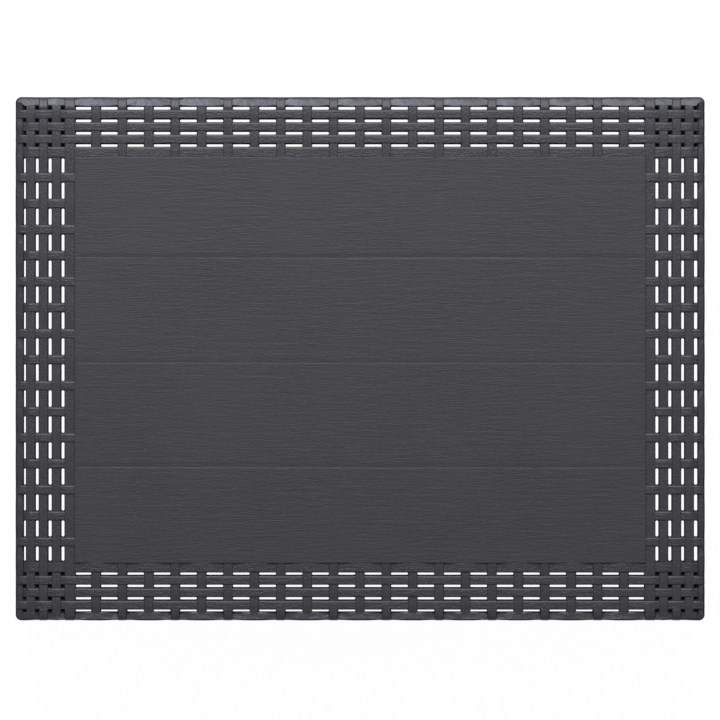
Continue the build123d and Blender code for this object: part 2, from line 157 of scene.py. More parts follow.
@dataclass(frozen=True)
class MouldedPlastic:
    """Matt moulded plastic with a grain that runs one way.

    Attributes:
        name: The material's name.
        grain: Grain marks per metre along each axis of the coordinates.
        coordinates: What the grain follows.
        relief: Height of the grain in the bump, in metres.
        contrast: How far the grain changes the colour, as a share.
        colour: The base colour, linear.
        roughness: The least and greatest roughness.
        gloss: Level of its reflections.
        sheen: Colour of its reflections.
        waver: How far the grain wanders sideways, in its own marks.
        dents: Height of the slow dents that mottle its sheen, in metres.
        flank_painted_shade: How much darker the flanks of its strands and the edges of its rim are painted
            than their tops, as a share: painted shade.
        flank_gloss: Level of the reflections on those flanks.
        polish: How much of the grain's relief is gone where its strands are smooth, as a share.
        edge: Radius of the softened edges, in metres.
        line_share: Share of drawn-out lines in the grain; the rest is dashes.
        line_stretch: Scale of those lines against the dashes along each axis.
        drift_scale: Turns of the wandering grain per metre.
        patch_scale: Slow patches of tone per metre.
        patch_share: How far those patches change the colour, as a share.
        skin_scale: Pits of the eroded skin per metre.
        skin_depth: Depth of those pits, in metres.
        skin_strength: Strength of those pits in the bump.
        dent_scale: Slow dents per metre.
        ior: Index of refraction.
    """

    name: str
    grain: tuple[float, float, float]
    coordinates: Coordinates
    relief: float
    contrast: float
    colour: tuple[float, float, float] = (0.0478, 0.0458, 0.0560)
    roughness: tuple[float, float] = (0.44, 0.58)
    gloss: float = 0.5
    sheen: tuple[float, float, float] = (1.0, 1.0, 1.0)
    waver: float = 0.0
    dents: float = 0.0
    flank_painted_shade: float = 0.0
    flank_gloss: float = 0.15
    polish: float = 0.0
    edge: float = 0.0
    line_share: float = 0.4
    line_stretch: tuple[float, float, float] = (0.2, 0.8, 0.8)
    drift_scale: float = 16.0
    patch_scale: float = 9.0
    patch_share: float = 0.10
    skin_scale: float = 1400.0
    skin_depth: float = 0.00006
    skin_strength: float = 0.5
    dent_scale: float = 60.0
    ior: float = 1.46

    def streaks(self, graph: NodeGraph, source: bpy.types.NodeSocket) -> bpy.types.NodeSocket:
        """Adds the grain: dashes with longer lines drawn among them.

        Args:
            graph: The material's nodes.
            source: The coordinates that the grain follows.

        Returns:
            The grain's height, from 0 to 1.
        """
        place = graph.add("ShaderNodeMapping", {"Vector": source, "Scale": self.grain}).outputs[0]
        if self.waver:
            drift = graph.noise(source, self.drift_scale, detail=1.0)
            sideways = {0: drift.outputs["Color"], 1: (0.0, self.waver, self.waver)}
            pushed = graph.add("ShaderNodeVectorMath", sideways, operation="MULTIPLY")
            place = graph.add("ShaderNodeVectorMath", {0: place, 1: pushed.outputs[0]}).outputs[0]
        dashes = graph.noise(place, 1.0, detail=3.0)
        drawn = graph.add("ShaderNodeMapping", {"Vector": place, "Scale": self.line_stretch}).outputs[0]
        lines = graph.noise(drawn, 1.0, detail=2.0)
        both = {0: self.line_share, 2: dashes.outputs["Fac"], 3: lines.outputs["Fac"]}
        return graph.add("ShaderNodeMix", both).outputs[0]

    def normal(
        self, graph: NodeGraph, source: bpy.types.NodeSocket, streaks: bpy.types.NodeSocket
    ) -> bpy.types.NodeSocket:
        """Adds the relief: softened edges, the skin's pits, the grain and the slow dents.

        Args:
            graph: The material's nodes.
            source: The coordinates that the relief follows.
            streaks: The grain's height.

        Returns:
            The normal.
        """
        pits = graph.noise(source, self.skin_scale, detail=1.0)
        skin = {"Height": pits.outputs["Fac"], "Strength": self.skin_strength, "Distance": self.skin_depth}
        if self.edge:
            soft = graph.add("ShaderNodeBevel", {"Radius": self.edge}, samples=4)
            skin["Normal"] = soft.outputs["Normal"]
        pitted = graph.add("ShaderNodeBump", skin).outputs["Normal"]
        ridges = {"Height": streaks, "Distance": self.relief, "Normal": pitted}
        if self.polish:
            ridges["Strength"] = graph.spread(graph.mark("polish"), 1.0, 1.0 - self.polish)
        ridged = graph.add("ShaderNodeBump", ridges).outputs["Normal"]
        if not self.dents:
            return ridged
        hollows = graph.noise(source, self.dent_scale, detail=3.0)
        dents = {"Height": hollows.outputs["Fac"], "Distance": self.dents, "Normal": ridged}
        return graph.add("ShaderNodeBump", dents).outputs["Normal"]

    def material(self) -> bpy.types.Material:
        """Builds the material: streaked grain, a fine eroded skin, a slow drift of tone and, where set,
        painted shade on the flanks.

        Returns:
            The material.
        """
        graph = NodeGraph(self.name)
        source = graph.add("ShaderNodeTexCoord").outputs[self.coordinates.value]
        streaks = self.streaks(graph, source)
        patches = graph.noise(source, self.patch_scale, detail=2.0).outputs["Fac"]
        low, high = toned(self.colour, 1.0 - self.contrast), toned(self.colour, 1.0 + self.contrast)
        uneven = graph.blend(self.patch_share, graph.blend(streaks, low, high), patches, "OVERLAY")
        gloss = self.gloss
        # Painted shade: the flanks of the strands and the rim's inner foot and outer edge are painted darker
        # than the tops, by the share marked on the mesh, and they also reflect less
        if self.flank_painted_shade:
            flank = graph.mark("flank")
            uneven = graph.blend(1.0, uneven, graph.spread(flank, 1.0, 1.0 - self.flank_painted_shade), "MULTIPLY")
            gloss = graph.spread(flank, self.gloss, self.flank_gloss)
        surface = {
            "Base Color": uneven,
            "Roughness": graph.spread(patches, *self.roughness),
            "Normal": self.normal(graph, source, streaks),
            "IOR": self.ior,
            "Specular IOR Level": gloss,
            "Specular Tint": toned(self.sheen, 1.0),
        }
        return graph.finish(graph.add("ShaderNodeBsdfPrincipled", surface))


@dataclass(frozen=True)
class PadRubber:
    """Soft black rubber of the foot pads.

    Attributes:
        name: The material's name.
        colour: The base colour, linear.
        tones: The darkest and lightest tone, as shares of that colour.
        roughness: Its roughness.
        mottle_scale: Spots of tone per metre.
        grit_scale: Grains of its skin per metre.
        grit_depth: Depth of those grains, in metres.
        grit_strength: Strength of those grains in the bump.
    """

    name: str = "pad_rubber"
    colour: tuple[float, float, float] = (0.022, 0.022, 0.023)
    tones: tuple[float, float] = (0.7, 1.4)
    roughness: float = 0.8
    mottle_scale: float = 120.0
    grit_scale: float = 1800.0
    grit_depth: float = 0.0001
    grit_strength: float = 0.6

    def material(self) -> bpy.types.Material:
        """Builds the material: a mottled skin with a fine grit.

        Returns:
            The material.
        """
        graph = NodeGraph(self.name)
        source = graph.add("ShaderNodeTexCoord").outputs["Object"]
        mottle = graph.noise(source, self.mottle_scale, detail=4.0).outputs["Fac"]
        grit = graph.noise(source, self.grit_scale, detail=2.0).outputs["Fac"]
        tone = graph.blend(mottle, *(toned(self.colour, share) for share in self.tones))
        skin = {"Height": grit, "Strength": self.grit_strength, "Distance": self.grit_depth}
        bump = graph.add("ShaderNodeBump", skin)
        surface = {"Base Color": tone, "Roughness": self.roughness, "Normal": bump.outputs["Normal"]}
        return graph.finish(graph.add("ShaderNodeBsdfPrincipled", surface))


@dataclass(frozen=True)
class ZincSteel:
    """Zinc-plated steel of the hinge pins and screws.

    Attributes:
        name: The material's name.
        colour: The base colour, linear.
        tones: The darkest and lightest tone, as shares of that colour.
        roughness: The least and greatest roughness.
        cloud_scale: Clouds of the plating per metre.
        mark_scale: Drawing marks per metre.
        mark_depth: Depth of those marks, in metres.
        mark_strength: Strength of those marks in the bump.
    """

    name: str = "zinc_steel"
    colour: tuple[float, float, float] = (0.56, 0.57, 0.58)
    tones: tuple[float, float] = (0.78, 1.12)
    roughness: tuple[float, float] = (0.26, 0.44)
    cloud_scale: float = 260.0
    mark_scale: float = 2600.0
    mark_depth: float = 0.00003
    mark_strength: float = 0.25

    def material(self) -> bpy.types.Material:
        """Builds the material: cloudy plating with fine drawing marks.

        Returns:
            The material.
        """
        graph = NodeGraph(self.name)
        source = graph.add("ShaderNodeTexCoord").outputs["Object"]
        cloud = graph.noise(source, self.cloud_scale, detail=3.0).outputs["Fac"]
        marks = graph.noise(source, self.mark_scale, detail=2.0).outputs["Fac"]
        skin = {"Height": marks, "Strength": self.mark_strength, "Distance": self.mark_depth}
        bump = graph.add("ShaderNodeBump", skin)
        surface = {
            "Base Color": graph.blend(cloud, *(toned(self.colour, share) for share in self.tones)),
            "Metallic": 1.0,
            "Roughness": graph.spread(cloud, *self.roughness),
            "Normal": bump.outputs["Normal"],
        }
        return graph.finish(graph.add("ShaderNodeBsdfPrincipled", surface))


class Mould:
    """Faces gathered from grids of points in millimetres, then made into one piece."""

    def __init__(self) -> None:
        """Starts with no faces."""
        self.points: list[np.ndarray] = []
        self.marks: list[np.ndarray] = []
        self.faces: list[tuple[int, ...]] = []
        self.count = 0

    def grid(self, points: np.ndarray, marks: np.ndarray | None = None) -> np.ndarray:
        """Adds a grid of quads.

        Args:
            points: Rows of points, of shape (n, m, 3).
            marks: Run, width, share of flank and share of polish at each point, of shape (n, m, 4).

        Returns:
            The points' numbers, of shape (n, m).
        """
        n, m = points.shape[:2]
        ids = np.arange(n * m).reshape(n, m) + self.count
        self.points.append(points.reshape(-1, 3))
        self.marks.append(np.zeros((n * m, 4)) if marks is None else marks.reshape(-1, 4))
        self.count += n * m
        corners = (ids[:-1, :-1], ids[1:, :-1], ids[1:, 1:], ids[:-1, 1:])
        self.faces.extend(zip(*(corner.ravel().tolist() for corner in corners)))
        return ids

    def cap(self, ids: np.ndarray) -> None:
        """Closes an end with one face over points already added."""
        self.faces.append(tuple(int(i) for i in ids))

    def block(
        self, low: tuple[float, float, float], high: tuple[float, float, float], draft: float
    ) -> None:
        """Adds a straight rib that narrows downwards.

        Args:
            low: Lowest corner at the rib's full width.
            high: Highest corner.
            draft: How far each side comes in at the bottom.
        """
        x0, y0, z0 = low
        x1, y1, z1 = high
        dx, dy = min(draft, (x1 - x0) / 3), min(draft, (y1 - y0) / 3)
        foot = [(x0 + dx, y0 + dy, z0), (x1 - dx, y0 + dy, z0)]
        foot += [(x1 - dx, y1 - dy, z0), (x0 + dx, y1 - dy, z0)]
        head = [(x0, y0, z1), (x1, y0, z1), (x1, y1, z1), (x0, y1, z1)]
        ids = self.grid(np.array([head + head[:1], foot + foot[:1]], float))
        self.cap(ids[0, :4])
        self.cap(ids[1, :4])

    def piece(
        self, name: str, body: str, slot: str, material: bpy.types.Material, sharp: float = 38.0
    ) -> bpy.types.Object:
        """Makes the piece and sets it on a body.

        Args:
            name: The piece's name.
            body: The body that it rides on.
            slot: The record's slot that its finish is from; not used.
            material: Its material.
            sharp: Angle between faces, in degrees, above which an edge stays sharp.

        Returns:
            The piece.
        """
        mesh = bpy.data.meshes.new(name)
        mesh.from_pydata((np.concatenate(self.points) * MM).tolist(), [], self.faces)
        corners = np.empty(len(mesh.loops), np.int32)
        mesh.loops.foreach_get("vertex_index", corners)
        marks = np.concatenate(self.marks)
        layer = mesh.uv_layers.new(name="strand")
        layer.data.foreach_set("uv", (marks[:, :2] * MM)[corners].ravel())
        for column, mark in ((2, "flank"), (3, "polish")):
            shares = mesh.attributes.new(mark, "FLOAT", "POINT")
            shares.data.foreach_set("value", np.ascontiguousarray(marks[:, column]))
        shape = bmesh.new()
        shape.from_mesh(mesh)
        bmesh.ops.remove_doubles(shape, verts=shape.verts, dist=WELD)
        bmesh.ops.dissolve_degenerate(shape, edges=shape.edges, dist=WELD / 2)
        bmesh.ops.recalc_face_normals(shape, faces=shape.faces)
        shape.to_mesh(mesh)
        shape.free()
        mesh.shade_smooth()
        mesh.set_sharp_from_angle(angle=math.radians(sharp))
        mesh.materials.append(material)
        made = bpy.data.objects.new(name, mesh)
        bpy.context.scene.collection.objects.link(made)
        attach(made, body)
        log.info("%s: %d faces on %s", name, len(mesh.polygons), body)
        return made


def eased(stations: np.ndarray, knots: np.ndarray, heights: np.ndarray) -> np.ndarray:
    """Heights along a strand, eased on a cosine from one crossing to the next.

    Args:
        stations: Where the heights are wanted, along the strand.
        knots: Where the crossings are, rising.
        heights: The height at each crossing.

    Returns:
        The height at each station.
    """
    i = np.clip(np.searchsorted(knots, stations) - 1, 0, len(knots) - 2)
    share = np.clip((stations - knots[i]) / (knots[i + 1] - knots[i]), 0.0, 1.0)
    return heights[i] + (heights[i + 1] - heights[i]) * (1.0 - np.cos(np.pi * share)) / 2.0


def lattice_noise(x: np.ndarray, y: np.ndarray, cells: tuple[float, float], seed: int) -> np.ndarray:
    """Smooth noise from 0 to 1 on a lattice of fixed random values.

    Args:
        x: Places along X.
        y: Places along Y.
        cells: Size of a lattice cell along X and Y.
        seed: The lattice's seed.

    Returns:
        The noise at each place.
    """
    # The lattice repeats after this many values, and the origin keeps its places positive
    count, origin = 257, 1000.0
    values = np.random.RandomState(seed).rand(count, count)
    u, v = x / cells[0] + origin, y / cells[1] + origin
    i, j = np.floor(u).astype(int), np.floor(v).astype(int)
    a, b = u - i, v - j
    a, b = a * a * (3 - 2 * a), b * b * (3 - 2 * b)
    i0, i1, j0, j1 = i % count, (i + 1) % count, j % count, (j + 1) % count
    near = values[i0, j0] * (1 - a) + values[i1, j0] * a
    far = values[i0, j1] * (1 - a) + values[i1, j1] * a
    return near * (1 - b) + far * b


@dataclass(frozen=True)
class StrandShape:
    """Section of a moulded strand: drafted sides, rounded edges and a slightly crowned top.

    Attributes:
        draft: How far a side comes in for each millimetre of height.
        low_edge: Width and depth of the rounded upper edge on the lower side.
        high_edge: The same on the upper side.
        crown: How far the top's edges lie below its middle.
        rounds: Shares of the rounded edge's width and depth at its points, from below.
        shoulder: How far in from the rounded edge the crown's first point lies.
        near_middle: Place of the crown's second point, as a share of half the top.
        crown_rises: How much of the crown these two points have.
        shares: How much each point of a side, from below its edge in, is flank and not top, and so how much
            painted shade it gets.
        edge_polish: How smooth the rounded edge on the upper side is, from 0 to 1.
    """

    draft: float = 0.15
    low_edge: tuple[float, float] = (0.6, 0.5)
    high_edge: tuple[float, float] = (0.6, 0.5)
    crown: float = 0.04
    rounds: tuple[tuple[float, float], ...] = ((0.1, 0.73), (0.3, 0.53), (0.8, 0.1))
    shoulder: float = 0.4
    near_middle: float = 0.45
    crown_rises: tuple[float, float] = (0.2, 0.8)
    shares: tuple[float, ...] = (1.0, 0.4, 0.0, 0.0, 0.0, 0.0, 0.0)
    edge_polish: float = 0.0

    def flank(self, half: float, edge: np.ndarray, rounding: tuple[float, float]) -> tuple[list, list]:
        """One side of the section, from below its rounded edge in to near the middle.

        Args:
            half: Half of the width at the foot.
            edge: Height of the top's edge at each station.
            rounding: Width and depth of the rounded edge.

        Returns:
            Distances from the middle, and heights.
        """
        wide, deep = rounding
        top = half - self.draft * edge
        side = [half - self.draft * (edge - deep), *(top - share * wide for share, _ in self.rounds)]
        side += [top - wide, top - wide - self.shoulder, top * self.near_middle]
        rise = [edge - deep, *(edge - share * deep for _, share in self.rounds)]
        rise += [edge, *(edge + share * self.crown for share in self.crown_rises)]
        return side, rise

    def section(
        self, width: float, heights: np.ndarray, lean: tuple[float, float] = (0.0, 0.0)
    ) -> tuple[np.ndarray, np.ndarray]:
        """The section at each station, closed below.

        Args:
            width: Width at the foot.
            heights: Height of the strand's middle at each station.
            lean: How much further the foot spreads on the lower and on the upper side.

        Returns:
            Sideways places and heights, each of shape (n, 18).
        """
        half, nought = width / 2, 0 * heights
        edge = heights - self.crown
        high_side, high_rise = self.flank(half, edge, self.high_edge)
        low_side, low_rise = self.flank(half, edge, self.low_edge)
        lower, upper = nought + half + lean[0], nought + half + lean[1]
        across = [upper, *high_side, nought, *(-side for side in reversed(low_side)), -lower, upper]
        height = [nought, *high_rise, heights, *reversed(low_rise), nought, nought]
        return np.stack(across, axis=1), np.stack(height, axis=1)

    def flanks(self) -> list[float]:
        """How much each point of the section is flank and not top, and so how much painted shade it gets."""
        return [1.0, *self.shares, 0.0, *reversed(self.shares), 1.0, 1.0]

    def smooth_edge(self) -> list[float]:
        """How smooth each point of the section is: only its rounded edge on the upper side can be.

        Returns:
            A share for each point.
        """
        edge = [self.edge_polish] * (len(self.rounds) + 1)
        rest = len(self.flanks()) - len(edge) - 2
        return [0.0, 0.0, *edge, *[0.0] * rest]

    def sweep(
        self,
        mould: Mould,
        spine: np.ndarray,
        normals: np.ndarray,
        across: np.ndarray,
        run: np.ndarray,
        width: float,
        heights: np.ndarray,
        lean: tuple[float, float] = (0.0, 0.0),
        polish: np.ndarray | None = None,
    ) -> None:
        """Adds a strand along a spine.

        Args:
            mould: What the strand is added to.
            spine: Points along the strand's foot, of shape (n, 3).
            normals: Direction of its height at each point, of shape (n, 3).
            across: Direction of its width at each point, of shape (n, 3).
            run: Distance along the strand at each point.
            width: Width at the foot.
            heights: Height at each point.
            lean: How much further the foot spreads on each side.
            polish: How smooth the strand is at each point, from 0 to 1.
        """
        side, rise = self.section(width, heights, lean)
        points = spine[:, None] + side[:, :, None] * across[:, None] + rise[:, :, None] * normals[:, None]
        smooth = 0.0 * run if polish is None else polish
        runs = np.repeat(run[:, None], side.shape[1], axis=1)
        shine = np.maximum(smooth[:, None], self.smooth_edge())
        marks = np.stack([runs, side, np.broadcast_to(self.flanks(), side.shape), shine], axis=2)
        ids = mould.grid(points, marks)
        mould.cap(ids[0, :-1])
        mould.cap(ids[-1, :-1])


@dataclass(frozen=True)
class StrandSet:
    """The strands met on the way across the lid in one direction, from rim to rim.

    Attributes:
        size: The lid's size in that direction.
        gaps: Number of gaps between the strands that cross the other two sides.
        outer: Middles of the three outer long strands, from the edge.
        outer_width: Their width.
        inner: Middle of the innermost long strand, from the edge.
        inner_width: Its width.
        cross_start: Where the row of crossing strands is counted from, from the edge.
        cross_width: Width of the crossing strands.
        shift: How far the strands sit from the middle between the rims.
        stretch: How much further apart than even the crossing strands are.
        rim: Middle of the rim, from the edge.
    """

    size: float
    gaps: int
    outer: tuple[float, ...]
    outer_width: float
    inner: float
    inner_width: float
    cross_start: float = 62.175
    cross_width: float = 11.0
    shift: float = 0.0
    stretch: float = 1.0
    rim: float = 4.5

    def middles(self) -> np.ndarray:
        """Middles of the strands.

        Returns:
            Their places from the lid's middle, the rims' first and last.
        """
        pitch = (self.size - 2 * self.cross_start) / self.gaps
        ways = [k - self.gaps / 2 for k in range(1, self.gaps)]
        crossing = [self.size / 2 + pitch * self.stretch * way for way in ways]
        near = [*self.outer, self.inner]
        places = [*near, *crossing, *(self.size - place for place in reversed(near))]
        strands = [place - self.size / 2 + self.shift for place in places]
        return np.array([self.rim - self.size / 2, *strands, self.size / 2 - self.rim])

    def count(self) -> int:
        """Number of strands between the rims."""
        return self.gaps + 2 * LONG_STRANDS - 1

    def width(self, number: int) -> float:
        """Width of a strand.

        Args:
            number: Its number from the first rim.

        Returns:
            The width.
        """
        if number in (LONG_STRANDS, self.gaps + LONG_STRANDS):
            return self.inner_width
        return self.cross_width if self.crosses_panel(number) else self.outer_width

    def crosses_panel(self, number: int) -> bool:
        """Whether a strand by its number would cross the panel, and so is in two halves."""
        return LONG_STRANDS < number < self.gaps + LONG_STRANDS


@dataclass(frozen=True)
class WeaveLayout:
    """Where the strands of the lid's woven border lie, and which lies on top.

    Attributes:
        columns: The strands that run along Y.
        rows: The strands that run along X.
        panel_length: Length of the panel inside the border.
        panel_depth: Depth of that panel.
        panel_shift: How far it sits from the lid's middle.
        lean: How much further a strand's foot spreads towards the lid's middle, at the lid's edge.
        row_leans: The same for the rows at the lid's front and rear edge.
        rim_feet: Width of the rim's foot at the front, the right, the rear and the left.
        rim_tilts: Outward slope of the rim's top at the front, the two ends and the rear, in degrees.
    """

    columns: StrandSet = StrandSet(
        size=790.0,
        gaps=22,
        outer=(17.6, 32.2, 47.05),
        outer_width=11.0,
        inner=62.6,
        inner_width=12.7,
        shift=-0.25,
    )
    rows: StrandSet = StrandSet(
        size=600.0,
        gaps=16,
        outer=(18.75, 33.0, 47.2),
        outer_width=10.6,
        inner=62.3,
        inner_width=12.85,
        shift=-1.0,
        stretch=1.0035,
    )
    panel_length: float = 655.2
    panel_depth: float = 465.9
    panel_shift: float = -1.35
    lean: float = 0.75
    row_leans: tuple[float, float] = (1.4, 1.1)
    rim_feet: tuple[float, float, float, float] = (10.7, 8.9, 11.6, 10.0)
    rim_tilts: tuple[float, float, float] = (-10.0, 11.5, 20.0)

    @property
    def length(self) -> float:
        """The lid's length."""
        return self.columns.size

    @property
    def depth(self) -> float:
        """The lid's depth."""
        return self.rows.size

    def met_along(self, run: Run) -> StrandSet:
        """The strands that a strand of this run meets."""
        return self.columns if run is Run.ROW else self.rows

    def half(self, run: Run) -> float:
        """Half of the lid's size along a strand of this run."""
        return self.met_along(run).size / 2

    def spread(self, run: Run, number: int) -> tuple[float, float]:
        """How much further the foot of a strand spreads than its width.

        Args:
            run: The run along which the strand is met.
            number: The strand's number along it.

        Returns:
            The spread on the strand's lower and upper side.
        """
        middle = self.met_along(run).middles()[number]
        front, rear = self.row_leans
        most = self.lean if run is Run.ROW else (rear if middle > 0 else front)
        lean = most * abs(middle) / self.half(run)
        return (lean, 0.0) if middle > 0 else (0.0, lean)

    def feet(self, run: Run, number: int) -> tuple[float, float]:
        """The two edges of the foot of a strand or a rim.

        Args:
            run: The run along which the strand is met.
            number: The strand's number along it; the rims are the first and last.

        Returns:
            The lower and the upper edge, from the lid's middle.
        """
        met, half = self.met_along(run), self.half(run)
        middles = met.middles()
        if number == 0:
            return -half, self.rim_width(run, -1) - half
        if number == len(middles) - 1:
            return half - self.rim_width(run, 1), half
        lower, upper = self.spread(run, number)
        reach = met.width(number) / 2
        return middles[number] - reach - lower, middles[number] + reach + upper

    def rim_width(self, run: Run, sign: int) -> float:
        """Width of the rim's foot.

        Args:
            run: A run that ends at the rim.
            sign: Which end of it.

        Returns:
            The width.
        """
        front, right, rear, left = self.rim_feet
        if run is Run.ROW:
            return right if sign > 0 else left
        return rear if sign > 0 else front

    def rim_tilt(self, out_y: float) -> float:
        """Slope of the rim's top, in radians, where its outward direction has this part along Y."""
        front, ends, rear = self.rim_tilts
        return math.radians(ends + abs(out_y) * ((rear if out_y > 0 else front) - ends))


@dataclass
class LidWeave:
    """The strands of the lid's border, over and under each other and on down the skirt.

    Attributes:
        layout: Where the strands lie.
        shapes: Section of the rows and of the columns.
        joined: Section of the row that joins the panel's front edge.
        joined_over: Height of that row where it lies on top.
        foot: Level of the strands' foot on the top.
        over: Height of a row and of a column that lies on top.
        under: Height of a row and of a column that dips.
        bends: Radii of the foot's two bends over the rim.
        front_bend: Radius of the second bend at the front.
        skirt_inset: Place of the strands' foot on the skirt, from the lid's edge.
        rim_over: Height over the rim.
        rim_under: Height of a row and of a column under the rim.
        skirt_over: Height on the skirt, over its strands.
        skirt_under: Height on the skirt, under its strands.
        skirt_levels: Middles of the skirt's mid strand and bottom bar.
        bottom: Where the strands end.
        tuck: How far the cross strands run in under the panel's edge.
        step: Distance between points along a strand.
        least_tilt: Least slope of the foot over the rim, in radians.
        turn_clear: How far in from the rim's foot the strands' foot starts to bend.
        bend_points: Points along the first bend, the slope and the second bend.
        edge_room: Least distance of a strand from the lid's edge.
        least_sine: Least sine of the foot's slope that its room to that edge is worked out with.
        grain_shift: How far the grain is moved on from one strand to the next.
        polish_reach: Length over which a column turns smooth at the rear rim.
    """

    layout: WeaveLayout
    shapes: tuple[StrandShape, StrandShape]
    joined: StrandShape = StrandShape(high_edge=(0.02, 0.05))
    joined_over: float = 5.54
    foot: float = 444.4
    over: tuple[float, float] = (5.3, 4.6)
    under: tuple[float, float] = (3.2, 3.95)
    bends: tuple[float, float] = (4.0, 3.2)
    front_bend: float = 1.8
    skirt_inset: float = 4.6
    rim_over: float = 5.3
    rim_under: tuple[float, float] = (2.6, 3.9)
    skirt_over: float = 4.3
    skirt_under: float = 2.5
    skirt_levels: tuple[float, float] = (429.8, 417.3)
    bottom: float = 414.4
    tuck: float = 2.0
    step: float = 1.8
    least_tilt: float = 0.035
    turn_clear: float = 1.4
    bend_points: tuple[int, int, int] = (4, 5, 9)
    edge_room: float = 0.15
    least_sine: float = 0.05
    grain_shift: float = 137.0
    polish_reach: float = 1.5

    def joins_panel(self, run: Run, number: int) -> bool:
        """Whether a strand is the row along the panel's front edge."""
        return run is Run.ROW and number == LONG_STRANDS

    def outward(self, run: Run, number: int, sign: int, start: float) -> tuple[np.ndarray, ...]:
        """One outward half of a strand: level on the lid, over the sloping rim and down the skirt.

        Args:
            run: The strand's run.
            number: Its number among its own kind.
            sign: Which way the half points.
            start: Where the half starts, from the lid's middle.

        Returns:
            Distances along it, places along the run, levels, the normals' two parts, and heights.
        """
        half = self.layout.half(run)
        tilt = max(self.layout.rim_tilt(float(sign) if run is Run.COLUMN else 0.0), self.least_tilt)
        at_front = run is Run.COLUMN and sign < 0
        first, second = self.bends[0], self.front_bend if at_front else self.bends[1]
        turn_in = self.layout.rim_width(run, sign) + self.turn_clear
        slope = turn_in - self.skirt_inset - first * math.sin(tilt) - second * (1.0 - math.sin(tilt))
        slope /= math.cos(tilt)
        flat = half - turn_in - start
        ends = np.cumsum([0.0, flat, first * tilt, slope, second * (math.pi / 2 - tilt)])
        drop_top = self.foot - first * (1 - math.cos(tilt)) - slope * math.sin(tilt)
        drop_top -= second * math.cos(tilt)
        drop = drop_top - self.bottom
        pieces = [np.linspace(0.0, flat, max(2, round(flat / self.step)))]
        pieces += [np.linspace(a, b, n)[1:] for a, b, n in zip(ends[1:], ends[2:], self.bend_points)]
        pieces.append(ends[4] + np.linspace(0.0, drop, round(drop / self.step))[1:])
        stations = np.concatenate(pieces)
        angle = np.interp(stations, ends[1:], [0.0, tilt, tilt, math.pi / 2])
        middle = (angle[1:] + angle[:-1]) / 2
        walked = np.diff(stations)
        place = start + np.concatenate([[0.0], np.cumsum(walked * np.cos(middle))])
        level = self.foot - np.concatenate([[0.0], np.cumsum(walked * np.sin(middle))])

        parity = 0 if run is Run.COLUMN else 1
        over = self.joined_over if self.joins_panel(run, number) else self.over[run.value]
        knots, heights = [], []
        crossings = self.layout.met_along(run).middles() * sign
        for other, crossing in enumerate(crossings[1:-1], 1):
            knots.append(crossing - start)
            heights.append(over if (number + other) % 2 == parity else self.under[run.value])
        order = np.argsort(knots)
        knots, heights = [knots[i] for i in order], [heights[i] for i in order]
        on_rim = number % 2 == parity
        if on_rim:
            knots += [ends[2], ends[3]]
            heights += [self.rim_over] * 2
        else:
            knots.append((ends[2] + ends[3]) / 2)
            heights.append(self.rim_under[run.value])
        for skirt_level, on_top in zip(self.skirt_levels, (not on_rim, on_rim)):
            knots.append(ends[4] + drop_top - skirt_level)
            heights.append(self.skirt_over if on_top else self.skirt_under)
        height = eased(stations, np.array(knots), np.array(heights))
        room = (half - place - self.edge_room) / np.maximum(np.sin(angle), self.least_sine)
        return stations, place, level, np.sin(angle), np.cos(angle), np.minimum(height, room)

    def strand(self, mould: Mould, run: Run, number: int, sign: int, whole: bool) -> None:
        """Adds a strand, or one half of a strand that meets the panel.

        Args:
            mould: What the strand is added to.
            run: The strand's run.
            number: Its number among its own kind.
            sign: Which way the half points.
            whole: Whether the strand runs from edge to edge.
        """
        across_run = Run.COLUMN if run is Run.ROW else Run.ROW
        kind = self.layout.met_along(across_run)
        panel = self.layout.panel_length if run is Run.ROW else self.layout.panel_depth
        start = 0.0 if whole else panel / 2 + sign * self.layout.met_along(run).shift - self.tuck
        parts = self.outward(run, number, sign, start)
        if whole:
            back = self.outward(run, number, -sign, 0.0)
            turned = (-back[0], -back[1], back[2], -back[3], back[4], back[5])
            parts = tuple(np.concatenate([t[:0:-1], p]) for t, p in zip(turned, parts))
        stations, place, level, outward, upward, height = parts
        along = run.value
        spine = np.zeros((len(stations), 3))
        spine[:, along], spine[:, 1 - along], spine[:, 2] = place * sign, kind.middles()[number], level
        normals = np.zeros_like(spine)
        normals[:, along], normals[:, 2] = outward * sign, upward
        across = np.zeros_like(spine)
        across[:, 1 - along] = 1.0
        lean = self.layout.spread(across_run, number)
        run_marks = stations + self.grain_shift * number
        shape = self.joined if self.joins_panel(run, number) else self.shapes[along]
        # Only the columns turn smooth, where they pass over the rear rim
        rear_rim = self.layout.depth / 2 - self.layout.rim_width(Run.COLUMN, 1)
        polish = np.clip((spine[:, 1] - rear_rim) / self.polish_reach + 0.5, 0.0, 1.0) * upward * along
        shape.sweep(mould, spine, normals, across, run_marks, kind.width(number), height, lean, polish)

    def build(self, material: bpy.types.Material) -> list[bpy.types.Object]:
        """Builds the strands of both runs.

        Args:
            material: The strands' material.

        Returns:
            One piece for the columns and one for the rows.
        """
        made = []
        for run, kind in ((Run.COLUMN, self.layout.columns), (Run.ROW, self.layout.rows)):
            mould = Mould()
            for number in range(1, kind.count() + 1):
                whole = not kind.crosses_panel(number)
                for sign in (1,) if whole else (-1, 1):
                    self.strand(mould, run, number, sign, whole)
            made.append(mould.piece(f"lid_weave_{run.name.lower()}s", "lid", "moulding", material))
        return made


class Station(NamedTuple):
    """A point of the lid's outline.

    Attributes:
        angle: Direction of its outward normal.
        place: Place along its side, and no number in a corner.
        run: Distance round the outline.
    """

    angle: float
    place: float
    run: float

    @property
    def in_corner(self) -> bool:
        """Whether the point lies in a rounded corner."""
        return math.isnan(self.place)

    @property
    def outward(self) -> tuple[float, float]:
        """The outward normal's parts along X and Y."""
        return math.cos(self.angle), math.sin(self.angle)


